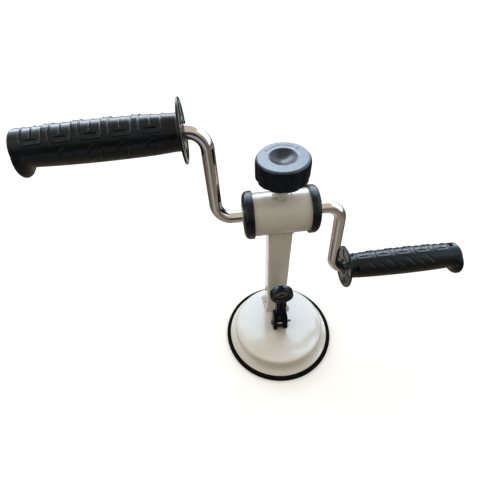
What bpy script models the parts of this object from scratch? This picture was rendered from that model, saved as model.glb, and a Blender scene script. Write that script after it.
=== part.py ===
"""Tabletop arm exerciser: a hand-cranked shaft with friction brake on a post,
standing on a lever-operated suction base.

Frame: metres, +Z up, origin at the centre of the suction pad's flat underside.
+X runs along the crank axis to the user's right, -Y points to the user.
All lengths below are in millimetres and are scaled by MM where they are used.
"""
import math

import bmesh
import bpy
from mathutils import Matrix, Vector

MM = 0.001
GAP = 0.3                     # running or seating gap between neighbouring pieces

# --- suction base ---------------------------------------------------------
PAD_R = 73.0                  # rubber pad, outer radius
PAD_WEB_TOP = 4.4             # top of the pad's web, under the cover
COVER_RIM_R = 67.6            # outer radius of the steel cover's flange
COVER_T = 1.8                 # cover sheet thickness
COVER_TOP = 27.0              # height of the raised platform
COVER_TOP_R = 58.7            # head of the drawn wall, before its rounding
COVER_HEAD = 3.2              # rounding of the platform's edge
COVER_FOOT_R = 65.2           # where the wall's hollow foot runs out into the flange
COVER_FOOT = 6.5              # radius of that hollow

# --- suction lever --------------------------------------------------------
STUD_Y = -3.0                 # draw stud, front of centre
PIN_Z = 35.0                  # lever pin above the table, lever upright
CAM_LOW = PIN_Z - COVER_TOP - GAP   # pin to foot, lever upright
CAM_RISE = 2.5                # pull of the cam per radian of lever travel
CHEEK_OUT = 9.1               # half width over the cheeks
CHEEK_IN = 4.0                # half width of the fork slot
EYE_HALF = 3.5                # half thickness of the stud's eye
BOLT_R = 1.95
FORK_TOP = 62.0               # shoulders of the fork's cheeks
DISC_Z = 102.0                # centre of the round thumb disc
DISC_R = 13.7

# --- post and hub ---------------------------------------------------------
POST_W = 25.0
POST_WALL = 1.5
HUB_Y = 34.0
HUB_Z = 197.5
HUB_R = 21.5
HUB_BORE = 19.0
HUB_HALF = 33.7
CAP_R = 23.9
CAP_IN = 27.5                 # inner lip of the end caps
CAP_OUT = 37.7                # outer face of the end caps

# --- crank ----------------------------------------------------------------
ROD_R = 6.0
THROW = 85.0
CRANK_ANGLE = 80.0            # left arm above +Y, in degrees
ARM_X = 63.0                  # plane of each crank arm
BEND_R = 16.0                 # centre-line bend radius
PIN_END = 205.0               # end of the straight grip pin, left side
DRUM_R = 13.0
DRUM_HALF = 18.0

# --- grips ----------------------------------------------------------------
GRIP_IN = 80.0                # inner face of the left grip's flange
GRIP_END = 214.8              # middle of the slanted outer end
GRIP_SLANT = 2.1              # how much further the end reaches at the flare
GRIP_FLANGE_R = 25.0
LINER_R = 9.0
GRIP_SHIFT = {"left": 0.0, "right": -2.5}     # the right grip sits this much further in
FLARE_TURN = {"left": 10.0, "right": 38.0}    # flare at rest, degrees from straight down to the front

# --- brake and tension knob ------------------------------------------------
SHOE_TOP_R = 17.0
BOSS_R = 7.0
BOSS_TOP = 233.0
SCREW_R = 3.9
KNOB_R = 24.5
KNOB_LOW = 238.6
KNOB_TOP = 259.4
KNOB_LOBES = 10
KNOB_PHASE = -5.0             # one flute near the front, in degrees from -Y


# --------------------------------------------------------------------------
def clear_scene():
    for obj in list(bpy.data.objects):
        bpy.data.objects.remove(obj, do_unlink=True)


def material(name, colour, roughness, metallic=0.0, coat=0.0):
    mat = bpy.data.materials.new(name)
    mat.use_nodes = True
    shader = next(n for n in mat.node_tree.nodes if n.type == "BSDF_PRINCIPLED")
    shader.inputs["Base Color"].default_value = (*colour, 1.0)
    shader.inputs["Roughness"].default_value = roughness
    shader.inputs["Metallic"].default_value = metallic
    shader.inputs["Coat Weight"].default_value = coat
    mat.diffuse_color = (*colour, 1.0)
    return mat


def empty(name, x, y, z):
    obj = bpy.data.objects.new(name, None)
    obj.empty_display_size = 0.01
    obj.location = (x * MM, y * MM, z * MM)
    bpy.context.scene.collection.objects.link(obj)
    return obj


def finish(name, bm, parent, mat, sharp=35.0, helper=False):
    """Turn a bmesh in millimetres into a named object under its parent."""
    bmesh.ops.scale(bm, vec=(MM, MM, MM), verts=bm.verts)
    bmesh.ops.recalc_face_normals(bm, faces=bm.faces)
    mesh = bpy.data.meshes.new(name)
    bm.to_mesh(mesh)
    bm.free()
    mesh.shade_smooth()
    mesh.set_sharp_from_angle(angle=math.radians(sharp))
    obj = bpy.data.objects.new(name, mesh)
    bpy.context.scene.collection.objects.link(obj)
    obj.parent = parent
    if mat is not None:
        mesh.materials.append(mat)
    if helper:
        obj.hide_render = True
        obj.display_type = "WIRE"
    return obj


AXES = {
    "X": lambda r, s, c, d: (s, r * c, r * d),
    "-X": lambda r, s, c, d: (-s, r * c, r * d),
    "Y": lambda r, s, c, d: (r * c, s, r * d),
    "Z": lambda r, s, c, d: (r * c, r * d, s),
}


def turned_bm(profile, steps, axis="Z", centre=(0, 0, 0), swell=None, phase=0.0):
    """Closed body of revolution. profile holds (radius, station) pairs; a
    radius of 0 at both ends closes it with two poles, else it is a ring.
    swell gives what is added to a point's radius and station."""
    bm = bmesh.new()
    place = AXES[axis]
    rings = []
    for r, s in profile:
        if r <= 0:
            x, y, z = place(0, s, 1, 0)
            rings.append([bm.verts.new((x + centre[0], y + centre[1], z + centre[2]))])
            continue
        ring = []
        for i in range(steps):
            a = phase + 2 * math.pi * i / steps
            dr, ds = swell(r, s, a) if swell else (0.0, 0.0)
            x, y, z = place(r + dr, s + ds, math.cos(a), math.sin(a))
            ring.append(bm.verts.new((x + centre[0], y + centre[1], z + centre[2])))
        rings.append(ring)
    pairs = list(zip(rings, rings[1:]))
    if len(rings[0]) > 1 and len(rings[-1]) > 1:
        pairs.append((rings[-1], rings[0]))
    for a, b in pairs:
        if len(a) == 1 and len(b) == 1:
            continue
        for i in range(steps):
            j = (i + 1) % steps
            if len(a) == 1:
                bm.faces.new((a[0], b[j], b[i]))
            elif len(b) == 1:
                bm.faces.new((a[i], a[j], b[0]))
            else:
                bm.faces.new((a[i], a[j], b[j], b[i]))
    return bm


def turned(name, profile, steps, parent, mat, axis="Z", centre=(0, 0, 0), swell=None,
           phase=0.0, sharp=35.0, helper=False):
    bm = turned_bm(profile, steps, axis, centre, swell, phase)
    return finish(name, bm, parent, mat, sharp, helper)


def prism_bm(outline, low, high, axis):
    """Extrude a closed outline. axis X: outline is (y, z); axis Z: (x, y)."""
    bm = bmesh.new()
    if axis == "X":
        verts = [bm.verts.new((low, a, b)) for a, b in outline]
        step = (high - low, 0, 0)
    else:
        verts = [bm.verts.new((a, b, low)) for a, b in outline]
        step = (0, 0, high - low)
    face = bm.faces.new(verts)
    made = bmesh.ops.extrude_face_region(bm, geom=[face])
    moved = [g for g in made["geom"] if isinstance(g, bmesh.types.BMVert)]
    bmesh.ops.translate(bm, vec=step, verts=moved)
    return bm


def box_bm(low, high):
    bm = bmesh.new()
    bmesh.ops.create_cube(bm, size=1.0)
    size = [h - l for l, h in zip(low, high)]
    mid = [(h + l) / 2 for l, h in zip(low, high)]
    bmesh.ops.scale(bm, vec=size, verts=bm.verts)
    bmesh.ops.translate(bm, vec=mid, verts=bm.verts)
    return bm


def rounded_square(half, radius, per_corner):
    points = []
    for k, (sx, sy) in enumerate(((1, 1), (-1, 1), (-1, -1), (1, -1))):
        for i in range(per_corner + 1):
            a = math.pi / 2 * (k + i / per_corner)
            points.append((sx * (half - radius) + radius * math.cos(a),
                           sy * (half - radius) + radius * math.sin(a)))
    return points


def ring_prism_bm(outer, inner, low, high):
    """Tube with the given outer and inner outlines, of equal point counts."""
    bm = bmesh.new()
    n = len(outer)
    loops = [[bm.verts.new((x, y, z)) for x, y in outline]
             for outline, z in ((outer, low), (outer, high), (inner, high), (inner, low))]
    for a, b in zip(loops, loops[1:] + loops[:1]):
        for i in range(n):
            j = (i + 1) % n
            bm.faces.new((a[i], a[j], b[j], b[i]))
    return bm


def sweep_bm(path, radius, steps):
    """Round rod along a planar centre line, with flat ends."""
    bm = bmesh.new()
    points = [Vector(p) for p in path]
    plane = None
    for a, b, c in zip(points, points[1:], points[2:]):
        cross = (b - a).cross(c - b)
        if cross.length > 1e-6:
            plane = cross.normalized()
            break
    rings = []
    for i, p in enumerate(points):
        before = (p - points[i - 1]).normalized() if i else None
        after = (points[i + 1] - p).normalized() if i + 1 < len(points) else None
        tangent = ((before or after) + (after or before)).normalized()
        across = plane.cross(tangent).normalized()
        stretch = 1.0
        if before and after:
            stretch = 1.0 / max(0.5, tangent.dot(after))
        rings.append([bm.verts.new(p + radius * (math.cos(t) * across * stretch + math.sin(t) * plane))
                      for t in (2 * math.pi * k / steps for k in range(steps))])
    for a, b in zip(rings, rings[1:]):
        for i in range(steps):
            j = (i + 1) % steps
            bm.faces.new((a[i], a[j], b[j], b[i]))
    bm.faces.new(rings[0])
    bm.faces.new(rings[-1])
    return bm


def boolean(obj, other, operation, name):
    mod = obj.modifiers.new(name, "BOOLEAN")
    mod.operation = operation
    mod.solver = "EXACT"
    mod.object = other
    return mod


def cylinder_cutter(name, radius, low, high, axis, centre, parent, steps=24, phase=0.0):
    profile = [(0, low), (radius, low), (radius, high), (0, high)]
    return turned(name, profile, steps, parent, None, axis, centre, phase=phase, helper=True)


def arc(centre, radius, start, end, steps):
    """Points of a circular arc, angles in degrees."""
    return [(centre[0] + radius * math.cos(math.radians(start + (end - start) * i / steps)),
             centre[1] + radius * math.sin(math.radians(start + (end - start) * i / steps)))
            for i in range(steps + 1)]


# --------------------------------------------------------------------------
def build_base(steel_white, rubber, guide_mat):
    origin = empty("base_origin", 0, 0, 0)
    # rubber pad: flat underside, raised bead round the cover's rim
    pad = [(0, 0), (70.6, 0), (72.3, 0.5), (PAD_R, 1.7), (72.8, 3.2), (71.6, 4.9),
           (70.0, 5.6), (68.5, 5.3), (COVER_RIM_R + GAP, PAD_WEB_TOP), (0, PAD_WEB_TOP)]
    turned("suction_pad", pad, 56, origin, rubber)

    # pressed steel cover, one sheet drawn up to a flat platform
    low = PAD_WEB_TOP + GAP
    outer = [(COVER_RIM_R, low), (COVER_RIM_R, low + 1.1), (COVER_RIM_R - 0.7, low + COVER_T)]
    foot = (COVER_FOOT_R, low + COVER_T + COVER_FOOT)
    head = (COVER_TOP_R - COVER_HEAD, COVER_TOP - COVER_HEAD)
    outer += arc(foot, COVER_FOOT, 270, 184, 5)
    outer += arc(head, COVER_HEAD, 4, 90, 4)
    inner = arc(head, COVER_HEAD - COVER_T, 90, 4, 3)
    inner += arc(foot, COVER_FOOT + COVER_T, 184, 270, 5)
    # the sheet is closed over the middle and pierced for the stud guide
    profile = [(0, COVER_TOP - COVER_T)] + inner + outer + [(0, COVER_TOP)]
    cover = turned("base_cover", profile, 56, origin, steel_white)
    cutter = cylinder_cutter("cover_hole_cutter", 6.5, COVER_TOP - 6, COVER_TOP + 4, "Z",
                             (0, STUD_Y, 0), origin, 20)
    boolean(cover, cutter, "DIFFERENCE", "stud hole")

    # plain guide bush for the stud, its collar under the cover
    under = COVER_TOP - COVER_T - GAP
    turned("stud_guide", [(4.3, under - 2.3), (10.5, under - 2.3), (10.5, under), (6.2, under),
                          (6.2, COVER_TOP), (4.3, COVER_TOP)], 24, origin, guide_mat,
           centre=(0, STUD_Y, 0))


def build_suction_lever(plastic, steel, brass, dark_steel):
    stud_axis = empty("stud_axis", 0, STUD_Y, PIN_Z)
    dz = -PIN_Z
    # draw stud: anchor plate, shank and flat eye for the lever pin
    plate = PAD_WEB_TOP + GAP
    stud = turned("draw_stud", [(0, plate + dz), (20.0, plate + dz), (20.0, plate + 1.7 + dz),
                                (19.7, plate + 2.0 + dz), (5.6, plate + 2.0 + dz),
                                (4.0, plate + 3.6 + dz), (4.0, 30.0 + dz), (0, 30.0 + dz)],
                  24, stud_axis, steel)
    eye = [(-5.6, 28.6 + dz)] + [(5.6, 28.6 + dz)] + arc((0, 0), 5.6, 0, 180, 10)
    eye_obj = finish("stud_eye", prism_bm(eye, -EYE_HALF, EYE_HALF, "X"), stud_axis, steel, helper=True)
    boolean(stud, eye_obj, "UNION", "eye")
    hole = cylinder_cutter("stud_eye_cutter", BOLT_R + GAP, -8, 8, "X", (0, 0, 0), stud_axis, 16)
    boolean(stud, hole, "DIFFERENCE", "pin hole")

    # lever: fork with cam feet, ribbed stem, dished round thumb disc
    lever_axis = empty("lever_axis", 0, STUD_Y, PIN_Z)
    top = FORK_TOP - PIN_Z
    outline = []
    for i in range(0, 11):                        # cam: support height grows with the angle
        phi = math.pi / 2 * i / 10
        h = CAM_LOW + CAM_RISE * phi
        outline.append((-h * math.sin(phi) - CAM_RISE * math.cos(phi),
                        -h * math.cos(phi) + CAM_RISE * math.sin(phi)))
    outline += [(-10.6, 11.0), (-9.3, 18.0), (-7.8, top - 3.4), (-6.5, top - 0.8), (-4.9, top)]
    outline += [(3.2, top), (4.6, top - 1.0), (5.2, top - 3.6), (6.4, 16.0), (7.2, 8.0)]
    outline += arc((0, 0), CAM_LOW, 0, -90, 7)
    fork = finish("cam_lever", prism_bm(outline[::-1], -CHEEK_OUT, CHEEK_OUT, "X"), lever_axis,
                  plastic)
    slot = finish("fork_slot_cutter", box_bm((-CHEEK_IN, -20, -20), (CHEEK_IN, 20, 6.4)), lever_axis,
                  None, helper=True)
    boolean(fork, slot, "DIFFERENCE", "fork slot")
    # above the slot the web between the cheeks is set back to the front of the stem
    web = finish("fork_web_cutter", box_bm((-CHEEK_IN, -20, 6.0), (CHEEK_IN, -5.2, top + 4.0)), lever_axis,
                 None, helper=True)
    boolean(fork, web, "DIFFERENCE", "web front")
    pin_hole = cylinder_cutter("lever_pin_cutter", BOLT_R + GAP, -15, 15, "X", (0, 0, 0), lever_axis, 16)
    boolean(fork, pin_hole, "DIFFERENCE", "pin hole")
    # shoulders: the cheeks stand proud of the stem on both sides
    disc_z = DISC_Z - PIN_Z
    stem = finish("stem_block", box_bm((-5.8, -5.2, top - 6.0), (5.8, 3.6, disc_z - 11.2)), lever_axis,
                  plastic, helper=True)
    boolean(fork, stem, "UNION", "stem")
    disc = [(0, -2.6), (9.4, -2.6), (10.6, -4.3), (12.8, -4.3), (DISC_R, -3.4), (DISC_R, 3.3),
            (12.8, 4.2), (0, 4.2)]
    disc_obj = turned("thumb_disc", disc, 32, lever_axis, plastic, axis="Y", centre=(0, 0, disc_z),
                      helper=True)
    boolean(fork, disc_obj, "UNION", "disc")

    # cross bolt and its nut, through cheeks and eye
    turned("lever_bolt", [(0, -11.1), (3.1, -11.1), (3.75, -10.6), (3.75, -CHEEK_OUT - GAP),
                          (BOLT_R, -CHEEK_OUT - GAP), (BOLT_R, 15.0), (1.5, 15.5), (0, 15.5)],
           16, lever_axis, dark_steel, axis="X")
    nut = finish("lever_nut", ring_nut_bm(3.6, BOLT_R + GAP, CHEEK_OUT + GAP, CHEEK_OUT + GAP + 2.9),
                 lever_axis, brass)
    return nut


def ring_nut_bm(corner_r, bore_r, low, high):
    """Hexagonal nut along X with a plain bore."""
    n = 24
    outer, inner = [], []
    for i in range(n):
        a = 2 * math.pi * i / n
        k = (a + math.pi / 6) % (math.pi / 3) - math.pi / 6
        flat = corner_r * math.cos(math.pi / 6) / math.cos(k)
        outer.append((flat * math.cos(a), flat * math.sin(a)))
        inner.append((bore_r * math.cos(a), bore_r * math.sin(a)))
    bm = ring_prism_bm(outer, inner, low, high)
    turn = Matrix(((0, 0, 1), (1, 0, 0), (0, 1, 0)))
    bmesh.ops.transform(bm, matrix=turn.to_4x4(), verts=bm.verts)
    return bm


def build_post_and_hub(steel_white, plastic, nylon):
    hub = empty("hub_axis", 0, HUB_Y, HUB_Z)
    half = POST_W / 2
    post = finish("post", ring_prism_bm(rounded_square(half, 2.5, 4),
                                        rounded_square(half - POST_WALL, 1.2, 4),
                                        COVER_TOP + GAP - HUB_Z, -10.0), hub, steel_white)
    saddle = cylinder_cutter("post_saddle_cutter", HUB_R + GAP, -30, 30, "X", (0, 0, 0), hub, 48)
    boolean(post, saddle, "DIFFERENCE", "saddle")

    tube = turned("hub_tube", [(HUB_BORE, -HUB_HALF), (HUB_R, -HUB_HALF), (HUB_R, HUB_HALF),
                               (HUB_BORE, HUB_HALF)], 48, hub, steel_white, axis="X")
    hole = cylinder_cutter("hub_hole_cutter", 4.6, 10, 30, "Z", (0, 0, 0), hub, 20)
    boolean(tube, hole, "DIFFERENCE", "screw hole")

    boss = turned("tension_boss", [(SCREW_R + GAP, 15.0), (BOSS_R, 15.0), (BOSS_R, BOSS_TOP - 0.8 - HUB_Z),
                                   (BOSS_R - 0.8, BOSS_TOP - HUB_Z), (SCREW_R + GAP, BOSS_TOP - HUB_Z)],
                  24, hub, steel_white)
    boss_saddle = cylinder_cutter("boss_saddle_cutter", HUB_R + GAP, -30, 30, "X", (0, 0, 0), hub, 48)
    boolean(boss, boss_saddle, "DIFFERENCE", "saddle")

    for side, axis in (("left", "-X"), ("right", "X")):
        # cap: spigot in the tube, groove for the tube's wall, rounded outer face
        turned(f"{side}_end_cap", [(9.3, 22.9), (HUB_BORE - GAP, 22.9), (HUB_BORE - GAP, HUB_HALF + GAP),
                                   (HUB_R + GAP, HUB_HALF + GAP), (HUB_R + GAP, CAP_IN), (CAP_R, CAP_IN),
                                   (CAP_R, 32.0), (23.2, 34.6), (21.2, 36.5), (18.0, 37.5),
                                   (9.3, CAP_OUT)], 36, hub, plastic, axis=axis)
        turned(f"{side}_bush", [(ROD_R + GAP, 20.2), (11.5, 20.2), (11.5, 22.6), (9.0, 22.6),
                                (9.0, 38.2), (ROD_R + GAP, 38.2)], 24, hub, nylon, axis=axis)


def crank_path(sign):
    """Centre line of one crank in the hub's frame, from the drum to the grip pin."""
    a = math.radians(CRANK_ANGLE)
    arm = Vector((0, math.cos(a), math.sin(a))) * (1 if sign < 0 else -1)
    out = Vector((sign, 0, 0))
    points = [out * 1.2]
    corner = out * ARM_X
    for i in range(7):
        t = math.pi / 2 * i / 6
        points.append(corner - out * BEND_R + arm * BEND_R
                      + BEND_R * (out * math.sin(t) - arm * math.cos(t)))
    corner = out * ARM_X + arm * THROW
    for i in range(7):
        t = math.pi / 2 * i / 6
        points.append(corner - arm * BEND_R + out * BEND_R
                      + BEND_R * (-out * math.cos(t) + arm * math.sin(t)))
    points.append(out * (PIN_END + GRIP_SHIFT["left" if sign < 0 else "right"]) + arm * THROW)
    return points, arm


def build_crank(chrome, steel, nylon, rubber, liner_mat):
    axis = empty("crank_axis", 0, HUB_Y, HUB_Z)
    drum = turned("brake_drum", [(ROD_R + GAP, -DRUM_HALF), (DRUM_R, -DRUM_HALF), (DRUM_R, DRUM_HALF),
                                 (ROD_R + GAP, DRUM_HALF)], 32, axis, steel, axis="X")
    for side, sign, along in (("left", -1, "-X"), ("right", 1, "X")):
        path, arm = crank_path(sign)
        finish(f"{side}_crank", sweep_bm(path, ROD_R, 16), axis, chrome)
        x = sign * 13.0
        cutter = cylinder_cutter(f"{side}_grub_cutter", 2.8, -20, -4, "Z", (x, 0, 0), axis, 14)
        boolean(drum, cutter, "DIFFERENCE", f"{side} grub hole")
        turned(f"{side}_grub_screw", [(0, -12.6), (2.5, -12.6), (2.5, -7.2), (1.6, -6.5), (0, -6.5)],
               14, axis, steel, centre=(x, 0, 0))
        turned(f"{side}_thrust_washer", [(ROD_R + GAP, DRUM_HALF + GAP), (11.5, DRUM_HALF + GAP),
                                         (11.5, 19.9), (ROD_R + GAP, 19.9)], 24, axis, steel, axis=along)
        centre = arm * THROW
        # push-on retainer on the end of the grip pin
        out = PIN_END - 3.1 + GRIP_SHIFT[side]
        turned(f"{side}_grip_retainer", [(ROD_R + GAP, out), (8.4, out), (8.7, out + 0.4), (8.7, out + 1.5),
                                         (ROD_R + GAP, out + 1.5)], 24, axis, steel, axis=along,
               centre=tuple(centre))
        build_grip(side, along, arm, rubber, liner_mat)


def build_grip(side, along, arm, rubber, liner_mat):
    """Moulded grip: flange, slim barrel, slanted outer end flared on one side."""
    centre = empty(f"{side}_grip_axis", 0, HUB_Y + arm.y * THROW, HUB_Z + arm.z * THROW)
    shift = GRIP_SHIFT[side]
    rise = {204.6: 0.0, 207.0: 0.9, 209.0: 3.0, 211.0: 5.9, 212.6: 7.5, 213.9: 7.9}

    def flare(r, s, a):
        # a runs from -Y (the front is at 180 degrees) over +Z; the flare points down, turned to the front
        away = math.cos(a + math.pi / 2 + math.radians(FLARE_TURN[side]))
        lobe = max(0.0, away) ** 1.2
        if s < 200.0:
            return 0.0, shift
        if r < LINER_R + 1.0:
            return 0.0, shift + (GRIP_SLANT * away * r / 15.0 if s > 210.0 else 0.0)
        if s in rise:
            return rise[s] * lobe, shift + GRIP_SLANT * away * (s - 200.0) / (GRIP_END - 200.0)
        return (7.9 if s > 213.0 else 0.0) * lobe, shift + GRIP_SLANT * away

    hole = 206.8
    profile = [(0, hole), (LINER_R + GAP, hole), (LINER_R + GAP, GRIP_IN), (24.5, GRIP_IN),
               (GRIP_FLANGE_R, GRIP_IN + 0.5), (GRIP_FLANGE_R, GRIP_IN + 1.5), (24.5, GRIP_IN + 2.0),
               (16.4, GRIP_IN + 2.4), (14.6, GRIP_IN + 4.0),
               (14.4, 88.0), (15.5, 108.0), (16.1, 148.0), (15.8, 180.0), (15.1, 200.0), (14.9, 204.6),
               (14.9, 207.0), (14.9, 209.0), (14.9, 211.0), (14.9, 212.6), (14.8, 213.9),
               (14.0, GRIP_END), (8.0, GRIP_END), (0, GRIP_END)]
    turned(f"{side}_grip", profile, 32, centre, rubber, axis=along, swell=flare)
    low = GRIP_IN + 0.5 + shift
    high = PIN_END - 3.5 + shift
    turned(f"{side}_grip_liner", [(ROD_R + GAP, low), (LINER_R, low), (LINER_R, high),
                                  (ROD_R + GAP, high)], 20, centre, liner_mat, axis=along)


def build_brake(shoe_mat, steel, plastic):
    slide = empty("shoe_axis", 0, HUB_Y, HUB_Z)
    a = 35.0
    shoe = arc((0, 0), DRUM_R + GAP, 90 + a, 90 - a, 10) + arc((0, 0), SHOE_TOP_R, 90 - a, 90 + a, 10)
    finish("brake_shoe", prism_bm(shoe, -8.0, 8.0, "X"), slide, shoe_mat)
    knob_axis = empty("knob_axis", 0, HUB_Y, HUB_Z)
    tip = SHOE_TOP_R + GAP
    turned("tension_screw", [(0, tip), (3.0, tip), (SCREW_R, tip + 0.9), (SCREW_R, 250.0 - HUB_Z),
                             (0, 250.0 - HUB_Z)], 24, knob_axis, steel)

    def flutes(r, s, ang):
        if r < 22.0:
            return 0.0, 0.0
        turn = ang + math.pi / 2 - math.radians(KNOB_PHASE)
        pitch = 2 * math.pi / KNOB_LOBES
        k = (turn + pitch / 2) % pitch - pitch / 2
        depth = 1.3 * max(0.0, 1.0 - (k / (0.22 * pitch)) ** 2)
        return -depth * (1.0 if r > 24.0 else 0.5), 0.0

    z = lambda v: v - HUB_Z
    knob = [(0, z(250.5)), (SCREW_R + GAP, z(250.5)), (SCREW_R + GAP, z(234.2)), (8.6, z(234.2)),
            (9.2, z(234.8)), (9.2, z(KNOB_LOW)), (22.4, z(KNOB_LOW)),
            (KNOB_R, z(KNOB_LOW + 2.2)), (KNOB_R, z(KNOB_TOP - 4.0)), (23.8, z(KNOB_TOP - 1.9)),
            (21.9, z(KNOB_TOP - 0.4)), (21.0, z(KNOB_TOP)), (12.3, z(KNOB_TOP)), (11.4, z(KNOB_TOP - 1.5)),
            (9.2, z(KNOB_TOP - 3.6)), (5.4, z(KNOB_TOP - 5.0)), (0, z(KNOB_TOP - 5.5))]
    turned("tension_knob", knob, 60, knob_axis, plastic, swell=flutes)


def main():
    clear_scene()
    white = material("white_enamel", (0.86, 0.86, 0.85), 0.22, coat=0.4)
    white_hub = material("white_enamel_hub", (0.85, 0.84, 0.82), 0.24, coat=0.4)
    pad_rubber = material("pad_rubber", (0.022, 0.023, 0.025), 0.55)
    grip_rubber = material("grip_rubber", (0.035, 0.038, 0.042), 0.48)
    black = material("black_plastic", (0.03, 0.034, 0.04), 0.38)
    cap_black = material("cap_plastic", (0.032, 0.036, 0.042), 0.42)
    lever_black = material("lever_plastic", (0.018, 0.02, 0.026), 0.30)
    chrome = material("chrome_rod", (0.78, 0.78, 0.80), 0.07, 1.0)
    steel = material("bright_steel", (0.56, 0.56, 0.58), 0.30, 1.0)
    dark = material("blackened_steel", (0.10, 0.10, 0.11), 0.40, 1.0)
    brass = material("brass", (0.70, 0.52, 0.22), 0.32, 1.0)
    nylon = material("white_nylon", (0.82, 0.80, 0.74), 0.45)
    lining = material("brake_lining", (0.16, 0.12, 0.09), 0.75)

    build_base(white, pad_rubber, nylon)
    build_suction_lever(lever_black, steel, brass, dark)
    build_post_and_hub(white_hub, cap_black, nylon)
    build_crank(chrome, steel, nylon, grip_rubber, cap_black)
    build_brake(lining, steel, black)


main()
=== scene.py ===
import math

import bmesh
import bpy
import numpy as np
from mathutils import Matrix, Vector, noise


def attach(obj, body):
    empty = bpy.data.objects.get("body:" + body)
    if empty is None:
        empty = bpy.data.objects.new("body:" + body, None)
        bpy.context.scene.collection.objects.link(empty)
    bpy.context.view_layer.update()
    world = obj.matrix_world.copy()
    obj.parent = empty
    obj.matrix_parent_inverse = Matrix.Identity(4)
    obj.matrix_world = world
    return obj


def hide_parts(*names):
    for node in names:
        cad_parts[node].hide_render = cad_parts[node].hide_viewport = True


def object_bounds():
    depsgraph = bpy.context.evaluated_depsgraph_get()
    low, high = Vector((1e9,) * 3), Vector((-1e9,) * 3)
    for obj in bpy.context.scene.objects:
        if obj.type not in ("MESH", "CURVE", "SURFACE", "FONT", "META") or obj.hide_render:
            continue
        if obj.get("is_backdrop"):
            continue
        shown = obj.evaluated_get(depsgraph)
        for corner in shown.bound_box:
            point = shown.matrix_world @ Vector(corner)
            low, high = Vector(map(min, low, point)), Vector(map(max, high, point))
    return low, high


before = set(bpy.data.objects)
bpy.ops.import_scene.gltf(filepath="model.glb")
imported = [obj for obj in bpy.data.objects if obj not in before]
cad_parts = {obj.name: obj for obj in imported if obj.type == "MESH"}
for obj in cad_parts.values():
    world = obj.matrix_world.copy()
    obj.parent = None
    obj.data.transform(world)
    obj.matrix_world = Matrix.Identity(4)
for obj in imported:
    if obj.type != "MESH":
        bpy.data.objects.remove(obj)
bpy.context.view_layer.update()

MM = 0.001

# Sizes below are in millimetres, in the same frame as the CAD part.
GAP = 0.3
PAD_R = 73.0
PAD_WEB_TOP = 4.4
COVER_RIM_R = 67.6
COVER_T = 1.8
COVER_TOP = 27.0
COVER_TOP_R = 58.7
COVER_HEAD = 3.2
COVER_FOOT_R = 65.2
COVER_FOOT = 6.5
STUD_Y = -3.0
PIN_Z = 35.0
CAM_LOW = PIN_Z - COVER_TOP - GAP
CAM_RISE = 2.5
CHEEK_OUT = 9.1
CHEEK_IN = 4.0
BOLT_R = 1.95
FORK_TOP = 62.0
DISC_Z = 102.0
DISC_R = 13.7
POST_W = 25.0
POST_WALL = 1.5
HUB_Y = 34.0
HUB_Z = 197.5
HUB_R = 21.5
HUB_BORE = 19.0
HUB_HALF = 33.7
CAP_R = 23.9
CAP_IN = 27.5
CAP_OUT = 37.7
ROD_R = 6.0
THROW = 85.0
CRANK_ANGLE = 80.0
ARM_X = 63.0
BEND_R = 16.0
PIN_END = 205.0
GRIP_IN = 80.0
GRIP_END = 214.8
GRIP_SLANT = 2.1
LINER_R = 9.0
GRIP_SHIFT = {"left": 0.0, "right": -2.5}
FLARE_TURN = {"left": 10.0, "right": 38.0}
BOSS_R = 7.0
BOSS_TOP = 233.0
SCREW_R = 3.9
KNOB_R = 24.5
KNOB_LOW = 238.6
KNOB_TOP = 259.4
KNOB_LOBES = 10
KNOB_PHASE = -5.0


# --------------------------------------------------------------------------
# camera
# --------------------------------------------------------------------------
def make_camera():
    data = bpy.data.cameras.new("camera")
    data.sensor_width = 36.0
    data.lens = 22.30776
    data.shift_x = 0.01894
    data.shift_y = 0.05664
    data.clip_start = 0.01
    data.clip_end = 50.0
    cam = bpy.data.objects.new("camera", data)
    cam.location = (-0.04977, -0.19896, 0.41199)
    cam.rotation_euler = tuple(math.radians(a) for a in (35.98694, 3.20285, -5.36949))
    bpy.context.scene.collection.objects.link(cam)
    bpy.context.scene.camera = cam


# --------------------------------------------------------------------------
# node materials
# --------------------------------------------------------------------------
class Tree:
    """A short way to write node trees."""

    def __init__(self, tree):
        self.tree = tree
        tree.nodes.clear()

    def add(self, kind, **values):
        node = self.tree.nodes.new(kind)
        for key, value in values.items():
            setattr(node, key, value)
        return node

    def link(self, a, b):
        self.tree.links.new(a, b)

    def set(self, node, **inputs):
        for key, value in inputs.items():
            node.inputs[key.replace("_", " ")].default_value = value
        return node


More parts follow.
